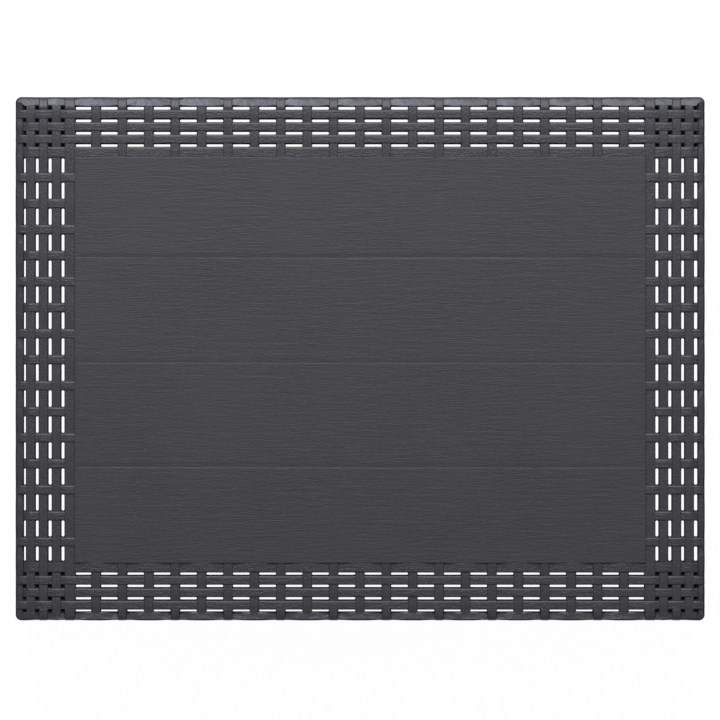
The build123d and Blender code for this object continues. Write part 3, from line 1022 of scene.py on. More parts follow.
@dataclass(frozen=True)
class PlanLoop:
    """The lid's outline in plan, as a run of points round it.

    Attributes:
        half_length: Half of the outline's length.
        half_depth: Half of its depth.
        radius: Radius of its corners.
        step: Distance between points along its sides.
        corner_points: Points round each corner, with its two ends.
        least_radius: Least radius of a corner further in.
    """

    half_length: float
    half_depth: float
    radius: float
    step: float = 2.0
    corner_points: int = 8
    least_radius: float = 0.3

    def stations(self) -> list[Station]:
        """Points round the outline, side by side.

        Returns:
            The stations, the first repeated last.
        """
        made, run = [], 0.0
        for quarter in range(4):
            half = self.half_length if quarter % 2 == 0 else self.half_depth
            reach = half - self.radius
            angle = (quarter - 1) * math.pi / 2
            count = round(2 * reach / self.step)
            for place in np.linspace(-reach, reach, count):
                made.append(Station(angle, float(place), run + float(place) + reach))
            run += 2 * reach
            for share in np.linspace(0.0, 1.0, self.corner_points)[1:-1]:
                turn = float(share) * math.pi / 2
                made.append(Station(angle + turn, math.nan, run + turn * self.radius))
            run += self.radius * math.pi / 2
        made.append(Station(made[0].angle, made[0].place, run))
        return made

    def point(self, station: Station, inset: float) -> tuple[float, float]:
        """The outline's point at a station, some way in from the edge.

        Args:
            station: The station.
            inset: How far in from the edge.

        Returns:
            Its X and Y.
        """
        out_x, out_y = station.outward
        radius = max(self.radius - inset, self.least_radius)
        if station.in_corner:
            middle_x = math.copysign(self.half_length - inset - radius, out_x)
            middle_y = math.copysign(self.half_depth - inset - radius, out_y)
            return middle_x + radius * out_x, middle_y + radius * out_y
        half, other = self.half_depth, self.half_length
        if abs(out_y) > 0.5:
            half, other = other, half
        place = min(max(station.place, inset + radius - half), half - inset - radius)
        x, y = (other - inset) * out_x, (other - inset) * out_y
        return x - place * out_y, y + place * out_x


@dataclass
class LidRim:
    """The rounded rim of the lid, its skirt's woven strands and the wall behind them.

    Attributes:
        layout: Where the lid's strands lie.
        shape: Section of the skirt's strands.
        plan_radius: Radius of the lid's corners in plan.
        corner_reach: How far from a corner the front's slope starts to turn into that of the ends.
        rim_top: Level of the rim's crest.
        rim_low: Level of the rim's inner foot.
        crest_in: Distance of the crest from that foot.
        outer_in: Where the top's slope ends, from the edge.
        inner_edge: Points of the rim's inner edge: in from its foot, down from its top, share of the dip.
        top_points: Points across its top.
        top_curve: How much of the top's slope comes only towards its outer end, as a share.
        outer_edge: Points of its outer edge: in from the lid's edge, down from the slope's end, how much
            further for its slope, share of the dip, and how much that grows at the front.
        lower_edge: Points of its lower edge: in from the lid's edge, level, and the dip's two as above.
        rim_flanks: How much each point of its section is flank and not top, and so how much painted shade it
            gets: its inner foot and outer edge are painted darker.
        dip: How far the rim dips under a strand.
        dip_reach: Half of the length of a dip.
        mid_strand: Levels of the skirt's mid strand.
        bottom_bar: Levels of its bottom bar.
        foot: Place of the skirt strands' foot, from the edge.
        over: Height of a skirt strand that lies on top.
        under: Height of one that dips.
        wall: The skirt wall's two faces, from the edge.
        wall_levels: The wall's foot and head.
    """

    layout: WeaveLayout
    shape: StrandShape
    plan_radius: float = 7.0
    corner_reach: float = 45.0
    rim_top: float = 449.3
    rim_low: float = 443.8
    crest_in: float = 1.55
    outer_in: float = 1.8
    inner_edge: tuple[tuple[float, ...], ...] = ((0.95, 0.9, 0.7), (1.15, 0.25, 1.0))
    top_points: int = 6
    top_curve: float = 0.25
    outer_edge: tuple[tuple[float, ...], ...] = (
        (1.05, 0.45, 0.3, 0.8, 0.15),
        (0.5, 1.15, 0.3, 0.5, 0.4),
        (0.15, 2.3, 0.0, 0.22, 0.5),
        (0.05, 3.4, 0.0, 0.12, 0.4),
    )
    lower_edge: tuple[tuple[float, ...], ...] = (
        (0.05, 440.4, 0.1, 0.2),
        (0.3, 439.2, 0.1, 0.0),
        (1.1, 438.6, 0.1, 0.0),
        (4.6, 438.4, 0.0, 0.0),
    )
    # The rim's inner foot and outer edge carry the most painted shade
    rim_flanks: tuple[float, ...] = (1.0, 0.6, *[0.0] * 6, 0.15, 0.8, 1.0, 1.0, 0.3, *[0.0] * 5)
    dip: float = 2.2
    dip_reach: float = 24.0
    mid_strand: tuple[float, float] = (424.4, 435.2)
    bottom_bar: tuple[float, float] = (414.0, 420.7)
    foot: float = 4.6
    over: float = 4.45
    under: float = 2.5
    wall: tuple[float, float] = (2.9, 4.6)
    wall_levels: tuple[float, float] = (414.4, 440.0)

    def section(self, station: Station) -> np.ndarray:
        """The rim's section at a station, dipped where a strand wraps over it.

        Args:
            station: The station.

        Returns:
            Points in from the edge and up, the first repeated last.
        """
        out_x, out_y = station.outward
        tilt = math.tan(self.layout.rim_tilt(out_y if out_y > 0 else out_y * self.from_corner(station)))
        ends = self.layout.rim_width(Run.ROW, 1 if out_x > 0 else -1)
        side = self.layout.rim_width(Run.COLUMN, 1 if out_y > 0 else -1)
        foot = ends * out_x**2 + side * out_y**2
        crest, front = foot - self.crest_in, max(-out_y, 0.0)
        top = self.rim_top + min(tilt, 0.0) * (crest - self.outer_in)
        edge = top - tilt * (crest - self.outer_in)
        # Each point is a place in from the edge, a level and its share of the dip
        rows = [(foot, self.rim_low, 0.0)]
        rows += [(foot - back, top - down, dip) for back, down, dip in self.inner_edge]
        for share in np.linspace(0.0, 1.0, self.top_points):
            fall = tilt * (crest - self.outer_in) * share * (1.0 - self.top_curve + self.top_curve * share)
            rows.append((crest + (self.outer_in - crest) * share, top - fall, 1.0))
        for place, down, further, dip, more in self.outer_edge:
            rows.append((place, edge - down - further * tilt, dip + more * front))
        rows += [(place, level, dip + more * front) for place, level, dip, more in self.lower_edge]
        base = np.array([*rows, rows[0]])
        slope = np.gradient(base[:, :2], axis=0)
        inward = np.stack([-slope[:, 1], slope[:, 0]], axis=1)
        inward /= np.linalg.norm(inward, axis=1)[:, None]
        # At the top the dip has to go down
        top_middle = 1 + len(self.inner_edge) + self.top_points // 2
        if inward[top_middle, 1] > 0:
            inward = -inward
        return base[:, :2] + inward * (base[:, 2:] * self.dip * self.rim_dip(station))

    def from_corner(self, station: Station) -> float:
        """How fully a station lies on the front's straight run.

        Args:
            station: The station.

        Returns:
            A share, from 0 at a corner to 1.
        """
        if station.in_corner:
            return 0.0
        share = (self.layout.length / 2 - self.plan_radius - abs(station.place)) / self.corner_reach
        return min(max(share, 0.0), 1.0)

    def crossings(self, station: Station) -> tuple[np.ndarray, int, float]:
        """The strands that come down over the side of a station.

        Args:
            station: The station.

        Returns:
            Their middles, the parity of those that wrap the rim, and the station's place among them.
        """
        out_x, out_y = station.outward
        if abs(out_y) > 0.5:
            return self.layout.columns.middles(), 0, -station.place * out_y
        return self.layout.rows.middles(), 1, station.place * out_x

    def rim_dip(self, station: Station) -> float:
        """How far the rim dips at a station.

        Args:
            station: The station.

        Returns:
            A share, from 0 to 1 under a strand's middle.
        """
        if station.in_corner:
            return 0.0
        middles, parity, place = self.crossings(station)
        gaps = [abs(place - middle) for n, middle in enumerate(middles[1:-1], 1) if n % 2 == parity]
        gap = min(min(gaps) / self.dip_reach, 1.0)
        return (1.0 + math.cos(math.pi * gap)) / 2.0

    def skirt_height(self, station: Station, over_wraps: bool) -> float:
        """Height of a skirt strand at a station.

        Args:
            station: The station.
            over_wraps: Whether it lies over the strands that wrap the rim, or over the others.

        Returns:
            Its height from its foot.
        """
        if station.in_corner:
            return self.over
        middles, parity, place = self.crossings(station)
        inner = middles[1:-1]
        on_top = [((n % 2 == parity) == over_wraps) for n in range(1, len(middles) - 1)]
        heights = np.where(on_top, self.over, self.under)
        return float(eased(np.array([place]), inner, heights)[0])

    def ring(
        self, mould: Mould, loop: PlanLoop, section: Callable[[Station], np.ndarray], flanks: list[float]
    ) -> None:
        """Adds a bar that runs round the lid.

        Args:
            mould: What the bar is added to.
            loop: The lid's outline.
            section: Gives the bar's closed section at a station, in from the edge and up.
            flanks: How much each point of the section is flank and not top.
        """
        points, marks = [], []
        for station in loop.stations():
            outline = section(station)
            girth = np.concatenate([[0.0], np.cumsum(np.hypot(*np.diff(outline, axis=0).T))])
            points.append([(*loop.point(station, inset), level) for inset, level in outline])
            marks.append([(station.run, around, flank, 0.0) for around, flank in zip(girth, flanks)])
        mould.grid(np.array(points), np.array(marks))

    def skirt_section(self, levels: tuple[float, float], over_wraps: bool, station: Station) -> np.ndarray:
        """The section of a skirt strand at a station.

        Args:
            levels: The strand's lower and upper side.
            over_wraps: Whether it lies over the strands that wrap the rim, or over the others.
            station: The station.

        Returns:
            Points in from the edge and up, the first repeated last.
        """
        height = np.array([self.skirt_height(station, over_wraps)])
        side, rise = self.shape.section(levels[1] - levels[0], height)
        return np.stack([self.foot - rise[0], (levels[0] + levels[1]) / 2 + side[0]], axis=1)

    def wall_section(self, station: Station) -> np.ndarray:
        """The section of the plain wall behind the skirt's strands.

        Args:
            station: The station; the section is the same at all of them.

        Returns:
            Points in from the edge and up, the first repeated last.
        """
        outer, inner = self.wall
        low, high = self.wall_levels
        return np.array([(outer, low), (outer, high), (inner, high), (inner, low), (outer, low)])

    def build(self, material: bpy.types.Material) -> list[bpy.types.Object]:
        """Builds the rim and the skirt.

        Args:
            material: Their material.

        Returns:
            The pieces.
        """
        loop = PlanLoop(self.layout.length / 2, self.layout.depth / 2, self.plan_radius)
        rim = Mould()
        self.ring(rim, loop, self.section, list(self.rim_flanks))
        skirt, flanks = Mould(), self.shape.flanks()
        self.ring(skirt, loop, partial(self.skirt_section, self.mid_strand, True), flanks)
        self.ring(skirt, loop, partial(self.skirt_section, self.bottom_bar, False), flanks)
        self.ring(skirt, loop, self.wall_section, [0.0] * 5)
        return [
            rim.piece("lid_rim", "lid", "moulding", material),
            skirt.piece("lid_skirt", "lid", "moulding", material),
        ]


@dataclass
class LatticePlate:
    """The web of the lid's border between its strands, with a round-ended gap in each cell.

    Attributes:
        layout: Where the gaps lie.
        low: Level of its underside.
        high: Level of its top.
        rim_line: Where its outer cells begin, from the lid's edge.
        gap_corner: Radius of a gap's corners.
        gap_round: Most of half a gap's width that this radius may be, as a share.
        corner_points: Points round each corner of a gap.
        tuck: How far it runs in under the panel's edge.
    """

    layout: WeaveLayout
    low: float = 443.5
    high: float = 444.6
    rim_line: float = 5.5
    gap_corner: float = 1.1
    gap_round: float = 0.9
    corner_points: int = 5
    tuck: float = 3.0

    def cell(
        self, mould: Mould, low: np.ndarray, high: np.ndarray, gap: np.ndarray, middle: np.ndarray
    ) -> None:
        """Adds one cell of the web with its gap.

        Args:
            mould: What the cell is added to.
            low: The cell's lowest corner in plan.
            high: Its highest corner in plan.
            gap: The gap's size.
            middle: The gap's middle.
        """
        radius = min(self.gap_corner, min(gap) / 2 * self.gap_round)
        inner, outer = [], []
        for quarter, (sx, sy) in enumerate(((1, 1), (-1, 1), (-1, -1), (1, -1))):
            corner = middle + (gap / 2 - radius) * (sx, sy)
            far = np.array([high[0] if sx > 0 else low[0], high[1] if sy > 0 else low[1]])
            for share in np.linspace(0.0, 1.0, self.corner_points):
                turn = (quarter + share) * math.pi / 2
                inner.append(corner + radius * np.array([math.cos(turn), math.sin(turn)]))
                spot = inner[-1].copy()
                axis = quarter % 2 if share <= 0.5 else 1 - quarter % 2
                spot[axis] = far[axis]
                outer.append(far if share == 0.5 else spot)
        inner, outer = inner + inner[:1], outer + outer[:1]
        loops = ((outer, self.low), (inner, self.low), (inner, self.high), (outer, self.high))
        mould.grid(np.array([[(x, y, level) for x, y in loop] for loop, level in loops]))

    def build(self, material: bpy.types.Material) -> bpy.types.Object:
        """Builds the web of all four sides and the corners.

        Args:
            material: Its material.

        Returns:
            The piece.
        """
        layout = self.layout
        mould = Mould()
        columns, rows = layout.columns.middles(), layout.rows.middles()
        for lines, half in ((columns, layout.length / 2), (rows, layout.depth / 2)):
            lines[0], lines[-1] = self.rim_line - half, half - self.rim_line
        last = (len(columns) - 2, len(rows) - 2)
        for c in range(len(columns) - 1):
            for r in range(len(rows) - 1):
                number = (c, r)
                outer = [n < LONG_STRANDS or n > end - LONG_STRANDS for n, end in zip(number, last)]
                if not any(outer):
                    continue
                low, high = np.array([columns[c], rows[r]]), np.array([columns[c + 1], rows[r + 1]])
                gap, middle = np.zeros(2), np.zeros(2)
                for axis, run in enumerate(Run):
                    near, far = layout.feet(run, number[axis])[1], layout.feet(run, number[axis] + 1)[0]
                    gap[axis], middle[axis] = far - near, (near + far) / 2
                self.cell(mould, low, high, gap, middle)
        self.inner_edge(mould)
        return mould.piece("lid_lattice", "lid", "moulding", material)

    def inner_edge(self, mould: Mould) -> None:
        """Adds the web under the innermost strands, in to below the panel's edge.

        Args:
            mould: What the web is added to.
        """
        layout = self.layout
        x0, y0 = layout.panel_length / 2 - self.tuck, layout.panel_depth / 2 - self.tuck
        columns, rows = layout.columns.middles(), layout.rows.middles()
        left, right = columns[LONG_STRANDS], columns[-1 - LONG_STRANDS]
        front, rear = rows[LONG_STRANDS], rows[-1 - LONG_STRANDS]
        shift = layout.rows.shift
        for low, high in (
            ((left, y0 + shift), (right, rear)),
            ((left, front), (right, shift - y0)),
            ((x0, shift - y0), (right, shift + y0)),
            ((left, shift - y0), (-x0, shift + y0)),
        ):
            mould.block((*low, self.low), (*high, self.high), 0.0)


@dataclass(frozen=True)
class Ripple:
    """A smooth random wave over the panel.

    Attributes:
        height: Its greatest height.
        cells: Length of its swells along X and Y.
        seed: What its swells are drawn from.
    """

    height: float
    cells: tuple[float, float]
    seed: int

    def at(self, x: np.ndarray, y: np.ndarray) -> np.ndarray:
        """The wave's height at each place."""
        return self.height * lattice_noise(x, y, self.cells, self.seed)


@dataclass
class PlankPanel:
    """The lid's closed panel: planks with a groove between them and a fine moulded grain.

    Attributes:
        layout: The lid's sizes.
        top: Level of its top.
        underside: Level of its underside.
        grooves: Place and depth of each groove's wall, where one plank stands up from the next.
        groove_slope: How far behind the wall the next plank starts to slope down to it.
        groove_wall: Width of the wall in plan.
        groove_end: How far a groove stops short of the panel's ends, and how long it fades there.
        edges: Radius of the panel's edges at the ends, the front and the rear.
        groove_worn: Least depth of a groove along its run, as a share, and how far that rises.
        groove_cells: Length of that rise and fall along X and Y.
        groove_seed: What it is drawn from.
        groove_turn: How far a groove turns for each millimetre along X.
        grain: Depth of the grain.
        bows: How the grain's lines wander sideways.
        streaks: The grain's fine and broad lines, as shares of its depth.
        gate: Place of the round mark left by the moulding gate.
        gate_radius: Radius of that mark.
        gate_line: Depth and half width of its line.
        deepest: Greatest depth of the relief.
        step: Distance between points along and across.
        edge_lines: Places of the points near an edge, from the edge.
        edge_zone: Where the even points start, from the edge.
    """

    layout: WeaveLayout
    top: float = 450.0
    underside: float = 446.5
    grooves: tuple[tuple[float, float], ...] = ((115.6, 0.6), (-5.1, 0.3), (-124.8, 0.4))
    groove_slope: float = 5.5
    groove_wall: float = 0.55
    groove_end: float = 1.5
    edges: tuple[float, float, float] = (1.2, 0.9, 1.6)
    groove_worn: tuple[float, float] = (0.55, 0.9)
    groove_cells: tuple[float, float] = (55.0, 50.0)
    groove_seed: int = 23
    groove_turn: float = 0.001
    grain: float = 0.22
    bows: tuple[Ripple, ...] = (Ripple(2.4, (150.0, 60.0), 3), Ripple(0.9, (45.0, 30.0), 5))
    streaks: tuple[Ripple, ...] = (Ripple(0.6, (13.0, 1.25), 11), Ripple(0.4, (70.0, 2.9), 17))
    gate: tuple[float, float] = (5.2, 2.6)
    gate_radius: float = 3.6
    gate_line: tuple[float, float] = (0.12, 0.9)
    deepest: float = 2.0
    step: tuple[float, float] = (4.0, 0.5)
    edge_lines: tuple[float, ...] = (0.0, 0.08, 0.25, 0.6)
    edge_zone: float = 1.2

    def lines(self, half: float, step: float) -> np.ndarray:
        """Places of the grid's lines across one size, closer at the edges.

        Args:
            half: Half of that size.
            step: Distance between the even lines.

        Returns:
            The places, from the panel's middle.
        """
        reach = half - self.edge_zone
        edge = np.array(self.edge_lines)
        inner = np.linspace(-reach, reach, round(2 * reach / step))
        return np.concatenate([edge - half, inner, half - edge[::-1]])

    def relief(self, x: np.ndarray, y: np.ndarray) -> np.ndarray:
        """How far the top lies below its level: grain, grooves, rounded edges and the gate mark.

        Args:
            x: Places along X.
            y: Places along Y.

        Returns:
            The depth at each place.
        """
        bow = sum(ripple.at(x, y) for ripple in self.bows)
        depth = self.grain * sum(ripple.at(x, y + bow) for ripple in self.streaks)
        half_x, half_y = self.layout.panel_length / 2, self.layout.panel_depth / 2
        shift = self.layout.panel_shift
        ends = np.clip((half_x - self.groove_end - np.abs(x)) / self.groove_end, 0.0, 1.0)
        least, more = self.groove_worn
        for number, (place, deep) in enumerate(self.grooves):
            wear = lattice_noise(x, y * 0.0 + place, self.groove_cells, self.groove_seed + number)
            uneven = np.minimum(least + more * wear, 1.0)
            behind = y - place + self.groove_turn * x
            slope = np.clip(1.0 - behind / self.groove_slope, 0.0, 1.0)
            wall = np.clip(1.0 + behind / self.groove_wall, 0.0, 1.0)
            depth = depth + deep * uneven * slope * wall * ends
        line_depth, line_half = self.gate_line
        ring = np.abs(np.hypot(x - self.gate[0], y - self.gate[1]) - self.gate_radius)
        depth = depth + line_depth * np.clip(1.0 - ring / line_half, 0.0, None)
        insides = (half_x - np.abs(x), half_y + y - shift, half_y - y + shift)
        for inside, radius in zip(insides, self.edges):
            short = np.clip(radius - inside, 0.0, radius)
            depth = depth + radius - np.sqrt(np.maximum(radius**2 - short**2, 0.0))
        return depth

    def build(self, material: bpy.types.Material) -> bpy.types.Object:
        """Builds the panel.

        Args:
            material: Its material.

        Returns:
            The piece.
        """
        mould = Mould()
        across, along = np.meshgrid(
            self.lines(self.layout.panel_depth / 2, self.step[1]) + self.layout.panel_shift,
            self.lines(self.layout.panel_length / 2, self.step[0]),
        )
        level = self.top - np.minimum(self.relief(along, across), self.deepest)
        top = np.stack([along, across, level], axis=2)
        mould.grid(top)
        border = np.concatenate([top[:-1, 0], top[-1, :-1], top[:0:-1, -1], top[0, ::-1]])
        foot = border.copy()
        foot[:, 2] = self.underside
        ids = mould.grid(np.stack([border, foot]))
        mould.cap(ids[1, :-1])
        return mould.piece("lid_panel", "lid", "moulding", material)


@dataclass
class UndersideRibs:
    """The lid's hidden stiffening: ribs under the panel, drip ribs outside the walls and screw bosses.

    Attributes:
        layout: The lid's sizes.
        reach: Where the panel's ribs end, from the lid's edge.
        rib_rows: Places of the ribs along X.
        cross_ribs: Number of ribs along Y.
        thickness: Thickness of the ribs at the panel.
        levels: The panel ribs' foot and head.
        drip_inset: Middle of the drip ribs, from the lid's edge.
        drip_thickness: Thickness of the drip ribs.
        drip_levels: The drip ribs' foot and head.
        drip_end: Where the drip ribs end at the skirt, from the lid's edge.
        boss_radii: Radius of a boss at its foot, above the foot's bevel and at its head.
        boss_bevel: Height of that bevel.
        boss_levels: The bosses' foot and head.
        boss_turns: Points round a boss.
        bore_radius: Radius of a boss's bore.
        bore_roof: How far below the head the bore ends.
        draft: How far each side of a rib comes in at the bottom.
    """

    layout: WeaveLayout
    reach: float = 97.0
    rib_rows: tuple[float, ...] = (-125.0, -4.8, 115.4)
    cross_ribs: int = 5
    thickness: float = 2.5
    levels: tuple[float, float] = (430.5, 446.6)
    drip_inset: float = 59.0
    drip_thickness: float = 3.0
    drip_levels: tuple[float, float] = (418.0, 444.5)
    drip_end: float = 3.6
    boss_radii: tuple[float, float, float] = (4.1, 4.5, 5.0)
    boss_bevel: float = 0.5
    boss_levels: tuple[float, float] = (419.0, 444.5)
    boss_turns: int = 25
    bore_radius: float = 2.1
    bore_roof: float = 6.0
    draft: float = 0.3

    def build(self, material: bpy.types.Material) -> bpy.types.Object:
        """Builds the ribs and bosses.

        Args:
            material: Their material.

        Returns:
            The piece.
        """
        mould = Mould()
        half_x, half_y = self.layout.length / 2, self.layout.depth / 2
        rib_x, rib_y, t = half_x - self.reach, half_y - self.reach, self.thickness / 2
        low, high = self.levels
        for y in self.rib_rows:
            mould.block((-rib_x, y - t, low), (rib_x, y + t, high), self.draft)
        for x in np.linspace(-rib_x, rib_x, self.cross_ribs):
            mould.block((x - t, -rib_y, low), (x + t, rib_y, high), self.draft)
        low, high = self.drip_levels
        t = self.drip_thickness / 2
        for sign in (-1, 1):
            x, y = sign * (half_x - self.drip_inset), sign * (half_y - self.drip_inset)
            end_x, end_y = half_x - self.drip_end, half_y - self.drip_end
            mould.block((x - t, -end_y, low), (x + t, end_y, high), self.draft)
            mould.block((-end_x, y - t, low), (end_x, y + t, high), self.draft)
            for spot_x, spot_y in HINGE_SPOTS:
                self.boss(mould, sign * spot_x, spot_y)
        return mould.piece("lid_ribs", "lid", "moulding", material)

    def boss(self, mould: Mould, x: float, y: float) -> None:
        """Adds a round boss that widens upwards.

        Args:
            mould: What the boss is added to.
            x: Its place along X.
            y: Its place along Y.
        """
        low, high = self.boss_levels
        foot, above, head = self.boss_radii
        profile = [(self.bore_radius, high - self.bore_roof), (self.bore_radius, low)]
        profile += [(foot, low), (above, low + self.boss_bevel), (head, high)]
        turns = np.linspace(0.0, 2 * math.pi, self.boss_turns)
        rings = []
        for radius, level in profile:
            rings.append([(x + radius * math.cos(a), y + radius * math.sin(a), level) for a in turns])
        ids = mould.grid(np.array(rings))
        mould.cap(ids[0, :-1])


@dataclass
class LegWeave:
    """The woven skin on the two outer faces of a corner leg.

    Attributes:
        layout: The lid's sizes.
        shape: Section of the strands.
        face: Place of the leg's outer faces, from the lid's edge.
        uprights: Middles and widths of the upright strands, from the lid's edge.
        foot: How far the strands' foot lies inside the leg's face.
        over: Height of a strand that lies on top.
        under: Height of one that dips.
        pitch: Distance between the cross strands.
        cross_width: Width of a cross strand.
        bend: Radius of the cross strands' bend round the corner.
        inner_end: Where the cross strands end, from the lid's edge.
        leg_widths: Width of the leg at its foot and above its taper.
        taper: Levels between which the leg widens.
        low: Where the uprights start.
        high: Where they end.
        rear_high: Where those on the rear face end, below the edge of the open lid.
        ends_clear: Least distance of a cross strand's middle from the uprights' lower and upper ends.
        side_clear: Distance of the strands from the leg's inner side.
        end_clear: Least distance of a crossing from the end of a cross strand.
        step: Distance between points along an upright.
        cross_points: Points along a cross strand on one face and round the corner.
        grain_shifts: How far the grain is moved on from one upright, and one cross strand, to the next.
    """

    layout: WeaveLayout
    shape: StrandShape
    face: float = 4.5
    uprights: tuple[tuple[float, float], ...] = ((18.25, 10.8), (32.75, 10.8), (46.6, 9.5), (57.6, 6.0))
    foot: float = 1.2
    over: float = 3.6
    under: float = 1.9
    pitch: float = 29.75
    cross_width: float = 11.0
    bend: float = 5.0
    inner_end: float = 60.5
    leg_widths: tuple[float, float] = (44.0, 58.0)
    taper: tuple[float, float] = (4.0, 70.0)
    low: float = 7.0
    high: float = 411.5
    rear_high: float = 386.2
    ends_clear: tuple[float, float] = (8.0, 20.0)
    side_clear: float = 0.4
    end_clear: float = 1.0
    step: float = 2.2
    cross_points: tuple[int, int] = (26, 9)
    grain_shifts: tuple[float, float] = (91.0, 53.0)

    def leg_edge(self, level: float) -> float:
        """Place of the leg's inner side at a level, from the lid's edge."""
        share = np.clip((level - self.taper[0]) / (self.taper[1] - self.taper[0]), 0.0, 1.0)
        return self.face + self.leg_widths[0] + float(share) * (self.leg_widths[1] - self.leg_widths[0])

    def leg_low(self, inset: float) -> float:
        """Lowest level at which the leg reaches in as far as a strand's side.

        Args:
            inset: The strand's side, from the lid's edge.

        Returns:
            The level.
        """
        over = inset + self.side_clear - self.face - self.leg_widths[0]
        share = over / (self.leg_widths[1] - self.leg_widths[0])
        return self.taper[0] + max(share, 0.0) * (self.taper[1] - self.taper[0])

    @property
    def levels(self) -> np.ndarray:
        """Levels of the cross strands, from the foot up."""
        low, high = self.low + self.ends_clear[0], self.high - self.ends_clear[1]
        return np.arange(high, low, -self.pitch)[::-1]

    def upright(self, mould: Mould, number: int, on_x: bool, sx: int, sy: int, high: float) -> None:
        """Adds an upright strand.

        Args:
            mould: What the strand is added to.
            number: Its number from the outer corner.
            on_x: Whether it is on the face that looks along X.
            sx: Sign of the leg's place along X.
            sy: Sign of its place along Y.
            high: Where it ends.
        """
        inset, width = self.uprights[number]
        levels = self.levels
        low = max(self.low, self.leg_low(inset + width / 2))
        stations = np.linspace(low, high, round((high - low) / self.step))
        tops = np.where((np.arange(len(levels)) + number) % 2 == 0, self.over, self.under)
        heights = eased(stations, levels, tops)
        spine = np.zeros((len(stations), 3))
        depth = self.face + self.foot
        half_x, half_y = self.layout.length / 2, self.layout.depth / 2
        spine[:, 0] = sx * (half_x - (depth if on_x else inset))
        spine[:, 1] = sy * (half_y - (inset if on_x else depth))
        spine[:, 2] = stations
        normals, across = np.zeros_like(spine), np.zeros_like(spine)
        normals[:, 0 if on_x else 1] = sx if on_x else sy
        across[:, 1 if on_x else 0] = 1.0
        run_marks = stations + self.grain_shifts[0] * number
        self.shape.sweep(mould, spine, normals, across, run_marks, width, heights)

    def cross(self, mould: Mould, number: int, level: float, sx: int, sy: int) -> None:
        """Adds a strand that crosses one face, bends round the outer corner and crosses the other.

        On a rear leg, one as high as the open lid's edge is on the side face alone.

        Args:
            mould: What the strand is added to.
            number: Its number from the foot.
            level: Its middle's level.
            sx: Sign of the leg's place along X.
            sy: Sign of its place along Y.
        """
        depth = self.face + self.foot
        reach = min(self.inner_end, self.leg_edge(level - self.cross_width / 2) - self.side_clear)
        flat = reach - depth - self.bend
        arc = self.bend * math.pi / 2
        near = np.linspace(0.0, flat, self.cross_points[0])
        bent = flat + np.linspace(0.0, arc, self.cross_points[1])
        stations = np.concatenate([near, bent[1:], flat + arc + near[1:]])
        if sy == End.REAR.value and level + self.cross_width / 2 > self.rear_high:
            stations = flat + arc + near
        knots, tops = [], []
        for index, (inset, _) in reversed(list(enumerate(self.uprights))):
            if inset > reach - self.end_clear:
                continue
            knots.append(reach - inset)
            tops.append(self.over if (index + number) % 2 == 1 else self.under)
        knots.append(flat + arc / 2)
        tops.append(self.over)
        knots += [2 * flat + arc - knot for knot in reversed(knots[:-1])]
        tops += list(reversed(tops[:-1]))
        heights = eased(stations, np.array(knots), np.array(tops))
        angle = np.clip((stations - flat) / self.bend, 0.0, math.pi / 2)
        turned = np.clip(stations - flat - arc, 0.0, None)
        along = reach - np.minimum(stations, flat) - self.bend * np.sin(angle)
        other = depth + self.bend * (1.0 - np.cos(angle)) + turned
        spine = np.zeros((len(stations), 3))
        spine[:, 0] = sx * (self.layout.length / 2 - along)
        spine[:, 1] = sy * (self.layout.depth / 2 - other)
        spine[:, 2] = level
        normals, across = np.zeros_like(spine), np.zeros_like(spine)
        normals[:, 0], normals[:, 1] = sx * np.sin(angle), sy * np.cos(angle)
        across[:, 2] = 1.0
        run_marks = stations + self.grain_shifts[1] * number
        self.shape.sweep(mould, spine, normals, across, run_marks, self.cross_width, heights)

    def build(self, side: Side, end: End, material: bpy.types.Material) -> bpy.types.Object:
        """Builds the skin of one leg.

        Args:
            side: The leg's end of the box.
            end: Front or rear.
            material: Its material.

        Returns:
            The piece.
        """
        mould = Mould()
        for number in range(len(self.uprights)):
            for on_x in (True, False):
                high = self.high if on_x or end is End.FRONT else self.rear_high
                self.upright(mould, number, on_x, side.value, end.value, high)
        for number, level in enumerate(self.levels):
            self.cross(mould, number, float(level), side.value, end.value)
        name = f"{end.name}_{side.name}_leg_weave".lower()
        return mould.piece(name, "box", "moulding", material)


